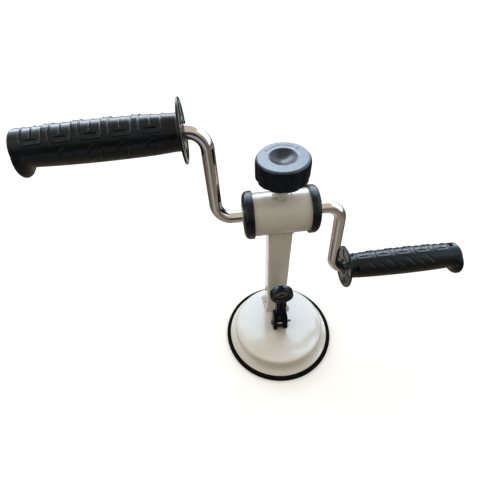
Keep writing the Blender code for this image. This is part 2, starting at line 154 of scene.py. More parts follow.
class Finish(Tree):
    """A Principled material whose colour, roughness and bump come from procedural textures."""

    def __init__(self, name, colour, metallic=0.0, ior=1.5, coat=0.0, coat_rough=0.05):
        self.mat = bpy.data.materials.new(name)
        self.mat.use_nodes = True
        super().__init__(self.mat.node_tree)
        self.mat.diffuse_color = (*colour, 1.0)
        self.out = self.add("ShaderNodeOutputMaterial")
        self.shader = self.add("ShaderNodeBsdfPrincipled")
        self.shader.inputs["Base Color"].default_value = (*colour, 1.0)
        self.shader.inputs["Metallic"].default_value = metallic
        self.shader.inputs["IOR"].default_value = ior
        self.shader.inputs["Coat Weight"].default_value = coat
        self.shader.inputs["Coat Roughness"].default_value = coat_rough
        self.link(self.shader.outputs["BSDF"], self.out.inputs["Surface"])
        self.coords = self.add("ShaderNodeTexCoord").outputs["Object"]
        self.colour_from = None
        self.base = colour
        self.normal_from = None

    def place(self, scale=(1, 1, 1), shift=(0, 0, 0)):
        m = self.add("ShaderNodeMapping")
        m.inputs["Scale"].default_value = scale
        m.inputs["Location"].default_value = shift
        self.link(self.coords, m.inputs["Vector"])
        return m.outputs["Vector"]

    def noise(self, scale, detail=3.0, rough=0.5, vector=None, distortion=0.0):
        n = self.add("ShaderNodeTexNoise")
        self.set(n, Scale=scale, Detail=detail, Roughness=rough, Distortion=distortion)
        self.link(vector or self.coords, n.inputs["Vector"])
        return n.outputs["Fac"]

    def cells(self, scale, vector=None):
        n = self.add("ShaderNodeTexVoronoi")
        self.set(n, Scale=scale)
        self.link(vector or self.coords, n.inputs["Vector"])
        return n.outputs["Distance"]

    def spread(self, value, low, high, to_low=0.0, to_high=1.0):
        m = self.add("ShaderNodeMapRange", interpolation_type="SMOOTHSTEP")
        self.set(m, From_Min=low, From_Max=high, To_Min=to_low, To_Max=to_high)
        self.link(value, m.inputs["Value"])
        return m.outputs["Result"]

    def blend(self, factor, other):
        """Mixes another colour over the colour so far, by this factor."""
        m = self.add("ShaderNodeMix", data_type="RGBA")
        self.link(factor, m.inputs["Factor"])
        if self.colour_from is None:
            m.inputs["A"].default_value = (*self.base, 1.0)
            a = [i for i in m.inputs if i.name == "A" and i.type == "RGBA"][0]
            a.default_value = (*self.base, 1.0)
        else:
            a = [i for i in m.inputs if i.name == "A" and i.type == "RGBA"][0]
            self.link(self.colour_from, a)
        b = [i for i in m.inputs if i.name == "B" and i.type == "RGBA"][0]
        b.default_value = (*other, 1.0)
        self.colour_from = [o for o in m.outputs if o.type == "RGBA"][0]

    def rough(self, value, low, high, to_low, to_high):
        self.link(self.spread(value, low, high, to_low, to_high), self.shader.inputs["Roughness"])

    def bump(self, height, depth, strength=1.0):
        b = self.add("ShaderNodeBump")
        self.set(b, Strength=strength, Distance=depth)
        self.link(height, b.inputs["Height"])
        if self.normal_from is not None:
            self.link(self.normal_from, b.inputs["Normal"])
        self.normal_from = b.outputs["Normal"]

    def done(self):
        if self.colour_from is not None:
            self.link(self.colour_from, self.shader.inputs["Base Color"])
        if self.normal_from is not None:
            self.link(self.normal_from, self.shader.inputs["Normal"])
        return self.mat


def enamel(name, tint, coat_rough, warm=(0.965, 0.95, 0.92)):
    """Stove enamel on steel: faint orange peel, a little tone drift, a few dust pits."""
    f = Finish(name, tint, coat=0.9, coat_rough=coat_rough)
    f.shader.inputs["Specular IOR Level"].default_value = 0.22
    f.blend(f.spread(f.noise(22.0, 3.0), 0.38, 0.68, 0.0, 0.55), tuple(c * k for c, k in zip(tint, warm)))
    pits = f.spread(f.cells(420.0), 0.04, 0.10, 1.0, 0.0)
    rare = f.spread(f.noise(95.0, 1.0), 0.60, 0.70, 0.0, 0.5)
    both = f.add("ShaderNodeMath", operation="MULTIPLY")
    f.link(pits, both.inputs[0])
    f.link(rare, both.inputs[1])
    f.blend(both.outputs[0], (0.44, 0.41, 0.36))
    f.rough(f.noise(55.0, 4.0), 0.3, 0.7, 0.17, 0.27)
    f.bump(f.noise(420.0, 2.0, 0.4), 0.00010, 0.28)
    f.bump(f.noise(46.0, 1.0), 0.0006, 0.20)
    return f.done()


def weld_enamel_painted_shade():
    """The same paint over weld metal, in a darker, greyer copy with darker yellower patches spread by noise: painted
    shade on the beads.
    """
    f = Finish("enamel_on_weld_painted_shade", (0.62, 0.61, 0.55), coat=0.4, coat_rough=0.12)
    f.blend(f.spread(f.noise(240.0, 4.0), 0.42, 0.66, 0.0, 0.8), (0.40, 0.39, 0.32))
    f.rough(f.noise(320.0, 3.0), 0.3, 0.7, 0.20, 0.38)
    f.bump(f.noise(520.0, 3.0, 0.6), 0.0005, 0.5)
    return f.done()


def black_finish(name, colour, worn, low, high, level, grain, depth):
    """Black moulded rubber or plastic: tone drift, rubbed specks, fine texture."""
    f = Finish(name, colour)
    f.shader.inputs["Specular IOR Level"].default_value = level
    # reflections on every black part are tinted blue: painted cool light
    f.shader.inputs["Specular Tint"].default_value = (0.72, 0.86, 1.0, 1.0)
    f.blend(f.spread(f.noise(60.0, 4.0, 0.6), 0.40, 0.72, 0.0, 0.7), worn)
    f.blend(f.spread(f.noise(310.0, 5.0, 0.7), 0.60, 0.82, 0.0, 0.30), tuple(2.2 * c + 0.006 for c in worn))
    f.rough(f.noise(190.0, 5.0, 0.6), 0.28, 0.72, low, high)
    f.bump(f.noise(grain, 3.0, 0.6), depth, 0.45)
    return f


def pad_rubber():
    f = black_finish("pad_rubber_moulded", (0.0060, 0.0062, 0.0064), (0.0095, 0.0094, 0.0090), 0.60, 0.78, 0.02,
                     1800.0, 0.00008)
    rings = f.add("ShaderNodeTexWave", wave_type="RINGS", rings_direction="Z", wave_profile="SIN")
    f.set(rings, Scale=190.0, Distortion=0.6, Detail=2.0)
    f.link(f.coords, rings.inputs["Vector"])
    f.bump(rings.outputs["Fac"], 0.00005, 0.30)
    return f.done()


def grip_rubber():
    f = black_finish("grip_rubber_moulded", (0.0075, 0.0082, 0.0100), (0.0110, 0.0118, 0.0140), 0.17, 0.28, 0.32,
                     2600.0, 0.00003)
    f.bump(f.noise(520.0, 2.0), 0.00004, 0.18)
    return f.done()


def knob_plastic():
    f = black_finish("knob_plastic_moulded", (0.0030, 0.0050, 0.0125), (0.0045, 0.0070, 0.0150), 0.26, 0.38, 0.24,
                     2300.0, 0.00006)
    return f.done()


def knob_top_plastic():
    """The knob's top face, spark-eroded and a little rougher than its side; its greyer colour is painted sheen for
    the light the top catches.
    """
    f = black_finish("knob_top_painted_sheen", (0.026, 0.031, 0.038), (0.033, 0.038, 0.045), 0.28, 0.38, 0.85,
                     2300.0, 0.00008)
    return f.done()


def knob_dish_plastic():
    """The thumb dish in the knob's top: smoother, so that it shows light only at its front. Its colour, greyer than
    the side and darker than the top, is painted sheen and painted shade.
    """
    f = black_finish("knob_dish_painted_sheen_and_shade", (0.018, 0.020, 0.023), (0.023, 0.025, 0.028), 0.27, 0.33, 0.55,
                     2300.0, 0.000012)
    return f.done()


def cap_plastic():
    f = black_finish("cap_plastic_moulded", (0.0050, 0.0064, 0.0100), (0.0075, 0.0090, 0.0125), 0.22, 0.34, 0.34,
                     2100.0, 0.00006)
    f.bump(f.noise(300.0, 2.0), 0.00010, 0.15)
    return f.done()


def lever_plastic(name, level):
    f = black_finish(name, (0.0014, 0.0026, 0.0080), (0.0022, 0.0036, 0.0100), 0.13, 0.24, level, 2600.0, 0.00003)
    f.bump(f.noise(160.0, 2.0, 0.5, f.place((1.0, 1.0, 0.3))), 0.00008, 0.20)
    return f.done()


def chrome():
    f = Finish("chrome_plate", (0.80, 0.80, 0.815), metallic=1.0)
    f.blend(f.spread(f.noise(45.0, 3.0), 0.45, 0.75, 0.0, 0.5), (0.75, 0.745, 0.745))
    f.rough(f.noise(180.0, 5.0, 0.65), 0.30, 0.75, 0.03, 0.085)
    f.bump(f.noise(160.0, 2.0), 0.00008, 0.20)
    f.bump(f.noise(3200.0, 2.0), 0.000012, 0.25)
    return f.done()


def turned_metal(name, colour, dark, low, high, axis="X", coarse=1500.0):
    """Machined or drawn metal: fine rings across the given axis."""
    f = Finish(name, colour, metallic=1.0)
    scale = {"X": (1.0, 0.04, 0.04), "Y": (0.04, 1.0, 0.04), "Z": (0.04, 0.04, 1.0)}[axis]
    rings = f.noise(coarse, 3.0, 0.6, f.place(scale))
    f.blend(f.spread(f.noise(130.0, 4.0), 0.42, 0.72, 0.0, 0.7), dark)
    f.rough(rings, 0.30, 0.70, low, high)
    f.bump(rings, 0.00004, 0.40)
    f.bump(f.noise(900.0, 3.0), 0.00003, 0.25)
    return f.done()


def nylon():
    f = Finish("nylon_turned", (0.70, 0.68, 0.61))
    f.shader.inputs["Subsurface Weight"].default_value = 0.12
    f.shader.inputs["Subsurface Scale"].default_value = 0.001
    f.blend(f.spread(f.noise(300.0, 4.0), 0.40, 0.70, 0.0, 0.6), (0.60, 0.575, 0.50))
    f.rough(f.noise(400.0, 3.0), 0.3, 0.7, 0.36, 0.52)
    f.bump(f.noise(1600.0, 2.0, 0.5, f.place((1.0, 0.05, 0.05))), 0.00004, 0.4)
    return f.done()


def brake_lining():
    f = Finish("friction_lining", (0.13, 0.095, 0.07))
    f.blend(f.spread(f.noise(1400.0, 5.0, 0.7), 0.42, 0.62), (0.20, 0.15, 0.11))
    f.blend(f.spread(f.cells(900.0), 0.05, 0.16, 0.8, 0.0), (0.34, 0.28, 0.18))
    f.rough(f.noise(800.0, 4.0), 0.3, 0.7, 0.74, 0.92)
    f.bump(f.noise(1700.0, 5.0, 0.7), 0.00016, 0.8)
    return f.done()


def floor_finish():
    f = Finish("floor_paper", (0.93, 0.93, 0.922))
    f.blend(f.spread(f.noise(1.2, 3.0), 0.35, 0.7, 0.0, 0.6), (0.94, 0.938, 0.93))
    f.rough(f.noise(40.0, 3.0), 0.3, 0.7, 0.78, 0.90)
    f.shader.inputs["Specular IOR Level"].default_value = 0.1
    f.shader.inputs["Emission Color"].default_value = (1.0, 1.0, 0.985, 1.0)
    f.shader.inputs["Emission Strength"].default_value = 0.22
    return f.done()


# --------------------------------------------------------------------------
# light and floor
# --------------------------------------------------------------------------
def make_world():
    """Soft studio surround for light and reflections: a bright cool window behind, a
    paler one on the left, a warm ceiling, a dark strip at eye level in front and a
    warm dim tabletop below. The camera sees it as plain and pale."""
    world = bpy.data.worlds.new("studio")
    bpy.context.scene.world = world
    world.use_nodes = True
    t = Tree(world.node_tree)
    out = t.add("ShaderNodeOutputWorld")
    gen = t.add("ShaderNodeTexCoord").outputs["Generated"]
    split = t.add("ShaderNodeSeparateXYZ")
    t.link(gen, split.inputs["Vector"])
    x, y, z = split.outputs

    def maths(kind, a, b=0.0):
        m = t.add("ShaderNodeMath", operation=kind)
        for i, v in enumerate((a, b)):
            if isinstance(v, (int, float)):
                m.inputs[i].default_value = v
            else:
                t.link(v, m.inputs[i])
        return m.outputs[0]

    def step(value, low, high):
        m = t.add("ShaderNodeMapRange", interpolation_type="SMOOTHSTEP")
        t.set(m, From_Min=low, From_Max=high, To_Min=0.0, To_Max=1.0)
        t.link(value, m.inputs["Value"])
        return m.outputs["Result"]

    def band(value, low, high, soft):
        """1 between low and high, falling to 0 over the soft edge outside."""
        return maths("MULTIPLY", step(value, low - soft, low), maths("SUBTRACT", 1.0, step(value, high, high + soft)))

    def over(factor, a, b):
        m = t.add("ShaderNodeMix", data_type="RGBA")
        t.link(factor, m.inputs["Factor"])
        for name, v in (("A", a), ("B", b)):
            socket = [i for i in m.inputs if i.name == name and i.type == "RGBA"][0]
            if isinstance(v, tuple):
                socket.default_value = (*v, 1.0)
            else:
                t.link(v, socket)
        return [o for o in m.outputs if o.type == "RGBA"][0]

    rise = maths("MULTIPLY", maths("ARCSINE", z), 180 / math.pi)                   # degrees over the horizon
    back = maths("MULTIPLY", maths("ARCTAN2", x, y), 180 / math.pi)                # 0 behind, + to the right
    front = maths("MULTIPLY", maths("ARCTAN2", x, maths("MULTIPLY", y, -1.0)), 180 / math.pi)   # 0 in front

    low = over(step(rise, -24.0, -14.0), (0.27, 0.215, 0.145), (0.155, 0.128, 0.092))
    low = over(step(rise, -62.0, -38.0), (0.29, 0.25, 0.185), low)
    sideways = maths("SUBTRACT", 1.0, band(front, -48.0, 60.0, 35.0))
    low = over(maths("MULTIPLY", sideways, band(rise, -34.0, 0.0, 10.0)), low, (0.105, 0.090, 0.070))
    high = over(step(rise, 10.0, 40.0), (0.21, 0.180, 0.135), (0.62, 0.55, 0.42))
    colour = over(step(rise, -2.0, 3.0), low, high)
    # pale reflection of a far wall on the tabletop, and the dark strip over it
    colour = over(maths("MULTIPLY", band(front, -30.0, -14.0, 9.0), band(rise, -30.0, -14.0, 5.0)), colour,
                  (0.36, 0.39, 0.42))
    colour = over(maths("MULTIPLY", band(front, -34.0, 7.0, 5.0), band(rise, -7.0, 19.0, 3.0)), colour,
                  (0.016, 0.024, 0.055))
    left = maths("MULTIPLY", band(back, -118.0, -52.0, 16.0), band(rise, 5.0, 50.0, 8.0))
    colour = over(left, colour, (1.30, 1.24, 1.12))
    right = maths("MULTIPLY", band(back, 56.0, 122.0, 14.0), band(rise, 5.0, 50.0, 8.0))
    colour = over(right, colour, (1.35, 1.42, 1.50))
    pane = maths("MULTIPLY", band(back, -46.0, 44.0, 14.0), band(rise, 14.0, 44.0, 8.0))
    halo = maths("MULTIPLY", band(back, -70.0, 62.0, 20.0), band(rise, 1.0, 50.0, 8.0))
    colour = over(halo, colour, (1.20, 1.24, 1.30))
    colour = over(pane, colour, (2.0, 2.15, 2.35))

    lit = t.add("ShaderNodeBackground")
    t.link(colour, lit.inputs["Color"])
    lit.inputs["Strength"].default_value = 1.0
    pale = t.add("ShaderNodeBackground")
    pale.inputs["Color"].default_value = (1.0, 1.0, 0.985, 1.0)
    pale.inputs["Strength"].default_value = 1.0
    rays = t.add("ShaderNodeLightPath")
    mix = t.add("ShaderNodeMixShader")
    t.link(rays.outputs["Is Camera Ray"], mix.inputs["Fac"])
    t.link(lit.outputs["Background"], mix.inputs[1])
    t.link(pale.outputs["Background"], mix.inputs[2])
    t.link(mix.outputs["Shader"], out.inputs["Surface"])


def area_light(name, where, target, size, power, colour):
    data = bpy.data.lights.new(name, "AREA")
    data.shape = "RECTANGLE"
    data.size, data.size_y = size
    data.energy = power
    data.color = colour
    obj = bpy.data.objects.new(name, data)
    obj.location = where
    obj.rotation_euler = (Vector(target) - Vector(where)).to_track_quat("-Z", "Y").to_euler()
    bpy.context.scene.collection.objects.link(obj)
    return obj


def shine(name, degrees_right, rise, distance, size, radiance, colour, only, shades=()):
    """A glossy-only light panel in the given direction, facing the object. only
    holds the pieces it shows on, shades those that stand in its way, if not all."""
    a, e = math.radians(degrees_right), math.radians(rise)
    where = (distance * math.sin(a) * math.cos(e), distance * math.cos(a) * math.cos(e), distance * math.sin(e))
    obj = area_light(name, where, (0, 0.02, 0.1), size, radiance * math.pi * size[0] * size[1], colour)
    obj.visible_diffuse = False
    obj.visible_camera = False
    group = bpy.data.collections.new(name + "_on")
    for o in only:
        group.objects.link(o)
    obj.light_linking.receiver_collection = group
    if shades:
        group = bpy.data.collections.new(name + "_shades")
        for o in shades:
            group.objects.link(o)
        obj.light_linking.blocker_collection = group
    return obj


def card(name, where, size, radiance, colour, only):
    """A glossy-only light lying on the table and facing up."""
    obj = area_light(name, (*where, 0.003), (*where, 1.0), size, radiance * math.pi * size[0] * size[1], colour)
    obj.visible_diffuse = False
    obj.visible_camera = False
    group = bpy.data.collections.new(name + "_on")
    for o in only:
        group.objects.link(o)
    obj.light_linking.receiver_collection = group
    return obj


def make_stage():
    make_world()
    mesh = bpy.data.meshes.new("floor")
    s = 4.0
    mesh.from_pydata([(-s, -s, 0), (s, -s, 0), (s, s, 0), (-s, s, 0)], [], [(0, 1, 2, 3)])
    mesh.materials.append(floor_finish())
    floor = bpy.data.objects.new("floor", mesh)
    bpy.context.scene.collection.objects.link(floor)
    # the floor takes light and shadow but throws none back up, so that the warm card does
    floor.visible_diffuse = False
    floor.visible_glossy = False
    floor.visible_transmission = False
    floor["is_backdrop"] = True


# --------------------------------------------------------------------------
# mesh helpers
# --------------------------------------------------------------------------
def step01(low, high, value):
    t = min(1.0, max(0.0, (value - low) / (high - low)))
    return t * t * (3.0 - 2.0 * t)


def arc(centre, radius, start, end, steps):
    return [(centre[0] + radius * math.cos(math.radians(start + (end - start) * i / steps)),
             centre[1] + radius * math.sin(math.radians(start + (end - start) * i / steps)))
            for i in range(steps + 1)]


AXES = {
    "X": lambda r, s, c, d: (s, r * c, r * d),
    "-X": lambda r, s, c, d: (-s, r * c, r * d),
    "Y": lambda r, s, c, d: (r * c, s, r * d),
    "Z": lambda r, s, c, d: (r * c, r * d, s),
}


def revolve(bm, profile, steps, axis="Z", centre=(0, 0, 0), shape=None, phase=0.0):
    """Adds a closed turned body. profile holds (radius, station) pairs, and
    shape(index, r, s, a) may return another (r, s) for a point of it."""
    place = AXES[axis]
    rings = []
    for k, (r, s) in enumerate(profile):
        if r <= 0:
            p = place(0, s, 1, 0)
            rings.append([bm.verts.new(Vector(p) + Vector(centre))])
            continue
        ring = []
        for i in range(steps):
            a = phase + 2 * math.pi * i / steps
            rr, ss = shape(k, r, s, a) if shape else (r, s)
            p = place(rr, ss, math.cos(a), math.sin(a))
            ring.append(bm.verts.new((p[0] + centre[0], p[1] + centre[1], p[2] + centre[2])))
        rings.append(ring)
    pairs = list(zip(rings, rings[1:]))
    if len(rings[0]) > 1 and len(rings[-1]) > 1:
        pairs.append((rings[-1], rings[0]))
    for a, b in pairs:
        for i in range(steps):
            j = (i + 1) % steps
            if len(a) == 1:
                bm.faces.new((a[0], b[j], b[i]))
            elif len(b) == 1:
                bm.faces.new((a[i], a[j], b[0]))
            else:
                bm.faces.new((a[i], a[j], b[j], b[i]))
    return bm


def prism(bm, outline, low, high, axis):
    """Adds an extruded closed outline. axis X takes (y, z), Y takes (x, z), Z takes (x, y)."""
    spot = {"X": lambda a, b, h: (h, a, b), "Y": lambda a, b, h: (a, h, b), "Z": lambda a, b, h: (a, b, h)}[axis]
    lower = [bm.verts.new(spot(a, b, low)) for a, b in outline]
    upper = [bm.verts.new(spot(a, b, high)) for a, b in outline]
    bm.faces.new(lower)
    bm.faces.new(upper[::-1])
    n = len(outline)
    for i in range(n):
        j = (i + 1) % n
        bm.faces.new((lower[i], upper[i], upper[j], lower[j]))
    return bm


def box(bm, low, high):
    return prism(bm, [(low[0], low[1]), (high[0], low[1]), (high[0], high[1]), (low[0], high[1])],
                 low[2], high[2], "Z")


def sweep(bm, path, radius, steps, closed=False, up=None):
    """Adds a round rod along a centre line. radius may be a function of the
    point's index and the angle round the rod."""
    points = [Vector(p) for p in path]
    n = len(points)
    rings = []
    side = None
    for i, p in enumerate(points):
        if closed:
            tangent = (points[(i + 1) % n] - points[i - 1]).normalized()
        else:
            tangent = (points[min(i + 1, n - 1)] - points[max(i - 1, 0)]).normalized()
        if up is not None:
            side = Vector(up).cross(tangent).normalized()
        elif side is None:
            guess = Vector((0, 0, 1)) if abs(tangent.z) < 0.9 else Vector((0, 1, 0))
            side = guess.cross(tangent).normalized()
        else:
            side = (side - tangent * side.dot(tangent)).normalized()
        across = tangent.cross(side)
        ring = []
        for k in range(steps):
            t = 2 * math.pi * k / steps
            r = radius(i, t) if callable(radius) else radius
            ring.append(bm.verts.new(p + r * (math.cos(t) * side + math.sin(t) * across)))
        rings.append(ring)
    pairs = list(zip(rings, rings[1:])) + ([(rings[-1], rings[0])] if closed else [])
    for a, b in pairs:
        for i in range(steps):
            j = (i + 1) % steps
            bm.faces.new((a[i], a[j], b[j], b[i]))
    if not closed:
        bm.faces.new(rings[0][::-1])
        bm.faces.new(rings[-1])
    return bm


def to_object(name, bm, mat, sharp=32.0):
    """Turns a bmesh in millimetres into an object in metres."""
    bmesh.ops.scale(bm, vec=(MM, MM, MM), verts=bm.verts)
    bmesh.ops.recalc_face_normals(bm, faces=bm.faces)
    mesh = bpy.data.meshes.new(name)
    bm.to_mesh(mesh)
    bm.free()
    mesh.shade_smooth()
    mesh.set_sharp_from_angle(angle=math.radians(sharp))
    obj = bpy.data.objects.new(name, mesh)
    bpy.context.scene.collection.objects.link(obj)
    if mat is not None:
        mesh.materials.append(mat)
    return obj


def settle(obj, sharp=32.0):
    """Applies an object's modifiers to its mesh."""
    graph = bpy.context.evaluated_depsgraph_get()
    graph.update()
    mesh = bpy.data.meshes.new_from_object(obj.evaluated_get(graph))
    obj.modifiers.clear()
    obj.data = mesh
    mesh.shade_smooth()
    mesh.set_sharp_from_angle(angle=math.radians(sharp))
    return obj


def join_or_cut(obj, other, operation, sharp=32.0):
    """Applies an exact Boolean and removes the other object."""
    mod = obj.modifiers.new("boolean", "BOOLEAN")
    mod.operation = operation
    mod.solver = "EXACT"
    mod.object = other
    settle(obj, sharp)
    bpy.data.objects.remove(other, do_unlink=True)
    return obj


def soften(obj, width, segments=3, angle=40.0, sharp=50.0):
    """Rounds the sharp edges of an object."""
    mod = obj.modifiers.new("bevel", "BEVEL")
    mod.width = width * MM
    mod.segments = segments
    mod.limit_method = "ANGLE"
    mod.angle_limit = math.radians(angle)
    mod.use_clamp_overlap = True
    mod.harden_normals = False
    return settle(obj, sharp)


def place(obj, body, slot, *nodes):
    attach(obj, body)
    if nodes:
        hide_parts(*nodes)
    return obj


def wander(p, scale, seed=0.0):
    """Smooth deterministic noise between about -1 and 1."""
    return noise.noise(Vector((p[0] * scale + seed, p[1] * scale + seed * 1.7, p[2] * scale - seed)))


# --------------------------------------------------------------------------
# suction base
# --------------------------------------------------------------------------
def build_base(m):
    bm = bmesh.new()
    pad = [(0, 0), (40.0, 0), (70.3, 0)] + arc((71.2, 1.3), 1.3, 270, 330, 4)[1:]
    pad += [(72.85, 1.5), (73.0, 2.4), (72.95, 3.5), (72.55, 4.7), (71.9, 5.6), (71.1, 6.2), (70.2, 6.45),
            (69.3, 6.4), (68.6, 6.1), (68.15, 5.5), (COVER_RIM_R + GAP, PAD_WEB_TOP), (40.0, PAD_WEB_TOP),
            (0, PAD_WEB_TOP)]
    revolve(bm, pad, 160)
    place(to_object("suction_pad_moulding", bm, m["pad"]), "stand", "pad_rubber", "suction_pad")

    low = PAD_WEB_TOP + GAP
    outer = [(COVER_RIM_R - 0.35, low), (COVER_RIM_R, low + 0.35), (COVER_RIM_R, low + 1.0)]
    outer += arc((COVER_RIM_R - 0.8, low + 1.0), 0.8, 20, 90, 4)
    foot = (COVER_FOOT_R, low + COVER_T + COVER_FOOT)
    head = (COVER_TOP_R - COVER_HEAD, COVER_TOP - COVER_HEAD)
    outer += arc(foot, COVER_FOOT, 270, 184, 14)
    top = arc(head, COVER_HEAD, 4, 90, 12)
    outer += [((outer[-1][0] + top[0][0]) / 2, (outer[-1][1] + top[0][1]) / 2)] + top
    outer += [(48.0, COVER_TOP + 0.02), (34.0, COVER_TOP + 0.02), (20.0, COVER_TOP + 0.01)]
    inner = arc(head, COVER_HEAD - COVER_T, 90, 4, 6)
    inner += arc(foot, COVER_FOOT + COVER_T, 184, 268, 10)
    inner += [(66.4, low)]
    bm = bmesh.new()
    revolve(bm, [(0, COVER_TOP - COVER_T), (20.0, COVER_TOP - COVER_T)] + inner + outer + [(0, COVER_TOP)], 192)
    cover = to_object("base_cover_pressing", bm, m["enamel"], 40.0)
    bm = bmesh.new()
    revolve(bm, [(0, 18.0), (6.5, 18.0), (6.5, 32.0), (0, 32.0)], 48, centre=(0, STUD_Y, 0))
    join_or_cut(cover, to_object("cover_hole", bm, None), "DIFFERENCE", 40.0)
    place(cover, "stand", "white_enamel", "base_cover")


# --------------------------------------------------------------------------
# suction lever
# --------------------------------------------------------------------------
def build_lever(m):
    c = (0, STUD_Y, PIN_Z)
    top = FORK_TOP - PIN_Z
    disc_z = DISC_Z - PIN_Z

    def shifted(points):
        return [(y + STUD_Y, z + PIN_Z) for y, z in points]

    # fork: cam outline, rounded shoulders
    cam = []
    for i in range(0, 25):
        phi = math.pi / 2 * i / 24
        h = CAM_LOW + CAM_RISE * phi
        cam.append((-h * math.sin(phi) - CAM_RISE * math.cos(phi), -h * math.cos(phi) + CAM_RISE * math.sin(phi)))
    side = cam + [(-11.0, 8.5), (-10.6, 11.0), (-9.9, 15.0), (-9.1, 18.6), (-8.2, 22.0), (-7.7, top - 3.0),
                  (-7.0, top - 1.2), (-6.0, top - 0.3), (-4.9, top)]
    side += [(3.0, top), (4.2, top - 0.6), (4.9, top - 1.8), (5.3, top - 4.5), (6.2, 17.0), (7.0, 10.0)]
    side += arc((0, 0), CAM_LOW, 8, -90, 16)
    bm = bmesh.new()
    prism(bm, shifted(side)[::-1], -CHEEK_OUT, CHEEK_OUT, "X")
    fork = to_object("cam_lever_moulding", bm, m["lever"])
    # seen from the front the cheeks' heads are rounded
    bm = bmesh.new()
    front = [(-CHEEK_OUT - 1, 20.0), (-CHEEK_OUT - 1, FORK_TOP + 2), (CHEEK_OUT + 1, FORK_TOP + 2),
             (CHEEK_OUT + 1, 20.0), (CHEEK_OUT, 20.0), (CHEEK_OUT, 44.0), (CHEEK_OUT - 0.45, FORK_TOP - 4.0)]
    front += arc((CHEEK_OUT - 2.3, FORK_TOP - 1.7), 1.7, 0, 90, 6)
    front += [(-x, z) for x, z in front[:6:-1]]
    front += [(-CHEEK_OUT + 0.45, FORK_TOP - 4.0), (-CHEEK_OUT, 44.0), (-CHEEK_OUT, 20.0)]
    prism(bm, front, -22.0, 16.0, "Y")
    join_or_cut(fork, to_object("fork_trim", bm, None), "DIFFERENCE")
    bm = bmesh.new()
    slot = [(-CHEEK_IN, 20.0), (CHEEK_IN, 20.0), (CHEEK_IN, PIN_Z + 5.6)] + \
        arc((CHEEK_IN - 0.8, PIN_Z + 5.6), 0.8, 0, 90, 4) + arc((-CHEEK_IN + 0.8, PIN_Z + 5.6), 0.8, 90, 180, 4)
    prism(bm, slot, -22.0, 22.0, "Y")
    join_or_cut(fork, to_object("fork_slot", bm, None), "DIFFERENCE")
    # above the slot the web between the cheeks is set back to the front of the stem
    for x_half, y0, y1 in ((CHEEK_IN + 0.2, -25.0, -8.15), (CHEEK_IN, 0.4, 22.0)):
        bm = bmesh.new()
        low, high = (PIN_Z + 5.0, FORK_TOP + 4.0) if y0 < -20 else (PIN_Z + 8.0, FORK_TOP - 4.0)
        prism(bm, [(y0, low), (y1, low), (y1, high), (y0, high)], -x_half, x_half, "X")
        join_or_cut(fork, to_object("fork_panel", bm, None), "DIFFERENCE")
    # stem: a flat bar with two long grooves and a rib between them
    bm = bmesh.new()
    stem = [(-5.8, -5.1), (-4.6, -5.1), (-4.3, -4.2), (-1.5, -4.2), (-1.2, -4.9), (1.2, -4.9), (1.5, -4.2),
            (4.3, -4.2), (4.6, -5.1), (5.8, -5.1), (5.8, 3.6), (4.4, 3.6), (4.1, 2.6), (-4.1, 2.6),
            (-4.4, 3.6), (-5.8, 3.6)]
    prism(bm, [(x, y + STUD_Y) for x, y in stem], PIN_Z + 19.0, PIN_Z + disc_z - 11.0, "Z")
    join_or_cut(fork, to_object("stem", bm, None), "UNION")
    # two shallow grooves run on down the web
    for x in (-2.7, 2.7):
        bm = bmesh.new()
        box(bm, (x - 1.0, STUD_Y - 6.0, PIN_Z + 8.2), (x + 1.0, STUD_Y - 4.7, PIN_Z + 21.0))
        join_or_cut(fork, to_object("web_groove", bm, None), "DIFFERENCE")
    # thumb disc: raised rim, dished front with a low boss, rounded band
    prof = [(0, -2.3), (1.2, -2.3), (1.5, -1.9), (6.8, -1.7), (7.2, -1.9), (7.8, -1.9), (8.4, -1.6), (9.3, -1.9), (10.0, -3.2),
            (10.5, -4.1), (11.0, -4.3), (12.5, -4.3), (13.3, -4.0), (DISC_R, -3.3), (DISC_R, 3.1), (13.4, 3.9),
            (12.6, 4.2), (11.0, 4.2), (10.2, 3.9), (9.5, 3.2), (0, 3.0)]
    bm = bmesh.new()
    revolve(bm, prof, 72, "Y", (0, STUD_Y, DISC_Z))
    join_or_cut(fork, to_object("thumb_disc", bm, None), "UNION")
    # four short ribs crossing at the middle of the dish
    for turn in (45.0, 135.0):
        bm = bmesh.new()
        c0, s0 = math.cos(math.radians(turn)), math.sin(math.radians(turn))
        rib = [(2.6 * c0 - 0.4 * s0, 2.6 * s0 + 0.4 * c0), (-2.6 * c0 - 0.4 * s0, -2.6 * s0 + 0.4 * c0),
               (-2.6 * c0 + 0.4 * s0, -2.6 * s0 - 0.4 * c0), (2.6 * c0 + 0.4 * s0, 2.6 * s0 - 0.4 * c0)]
        prism(bm, [(x, z + DISC_Z) for x, z in rib], STUD_Y - 2.25, STUD_Y - 1.0, "Y")
        join_or_cut(fork, to_object("dish_rib", bm, None), "UNION")
    bm = bmesh.new()
    revolve(bm, [(0, -15), (BOLT_R + GAP, -15), (BOLT_R + GAP, 15), (0, 15)], 32, "X", c)
    join_or_cut(fork, to_object("lever_pin_hole", bm, None), "DIFFERENCE")
    soften(fork, 0.3, 2, 50.0, 55.0)
    fork.data.materials.append(m["disc"])
    for face in fork.data.polygons:
        if face.center.z > (DISC_Z - DISC_R + 1.6) * MM:
            face.material_index = 1
    place(fork, "cam_lever", "lever_plastic", "cam_lever")

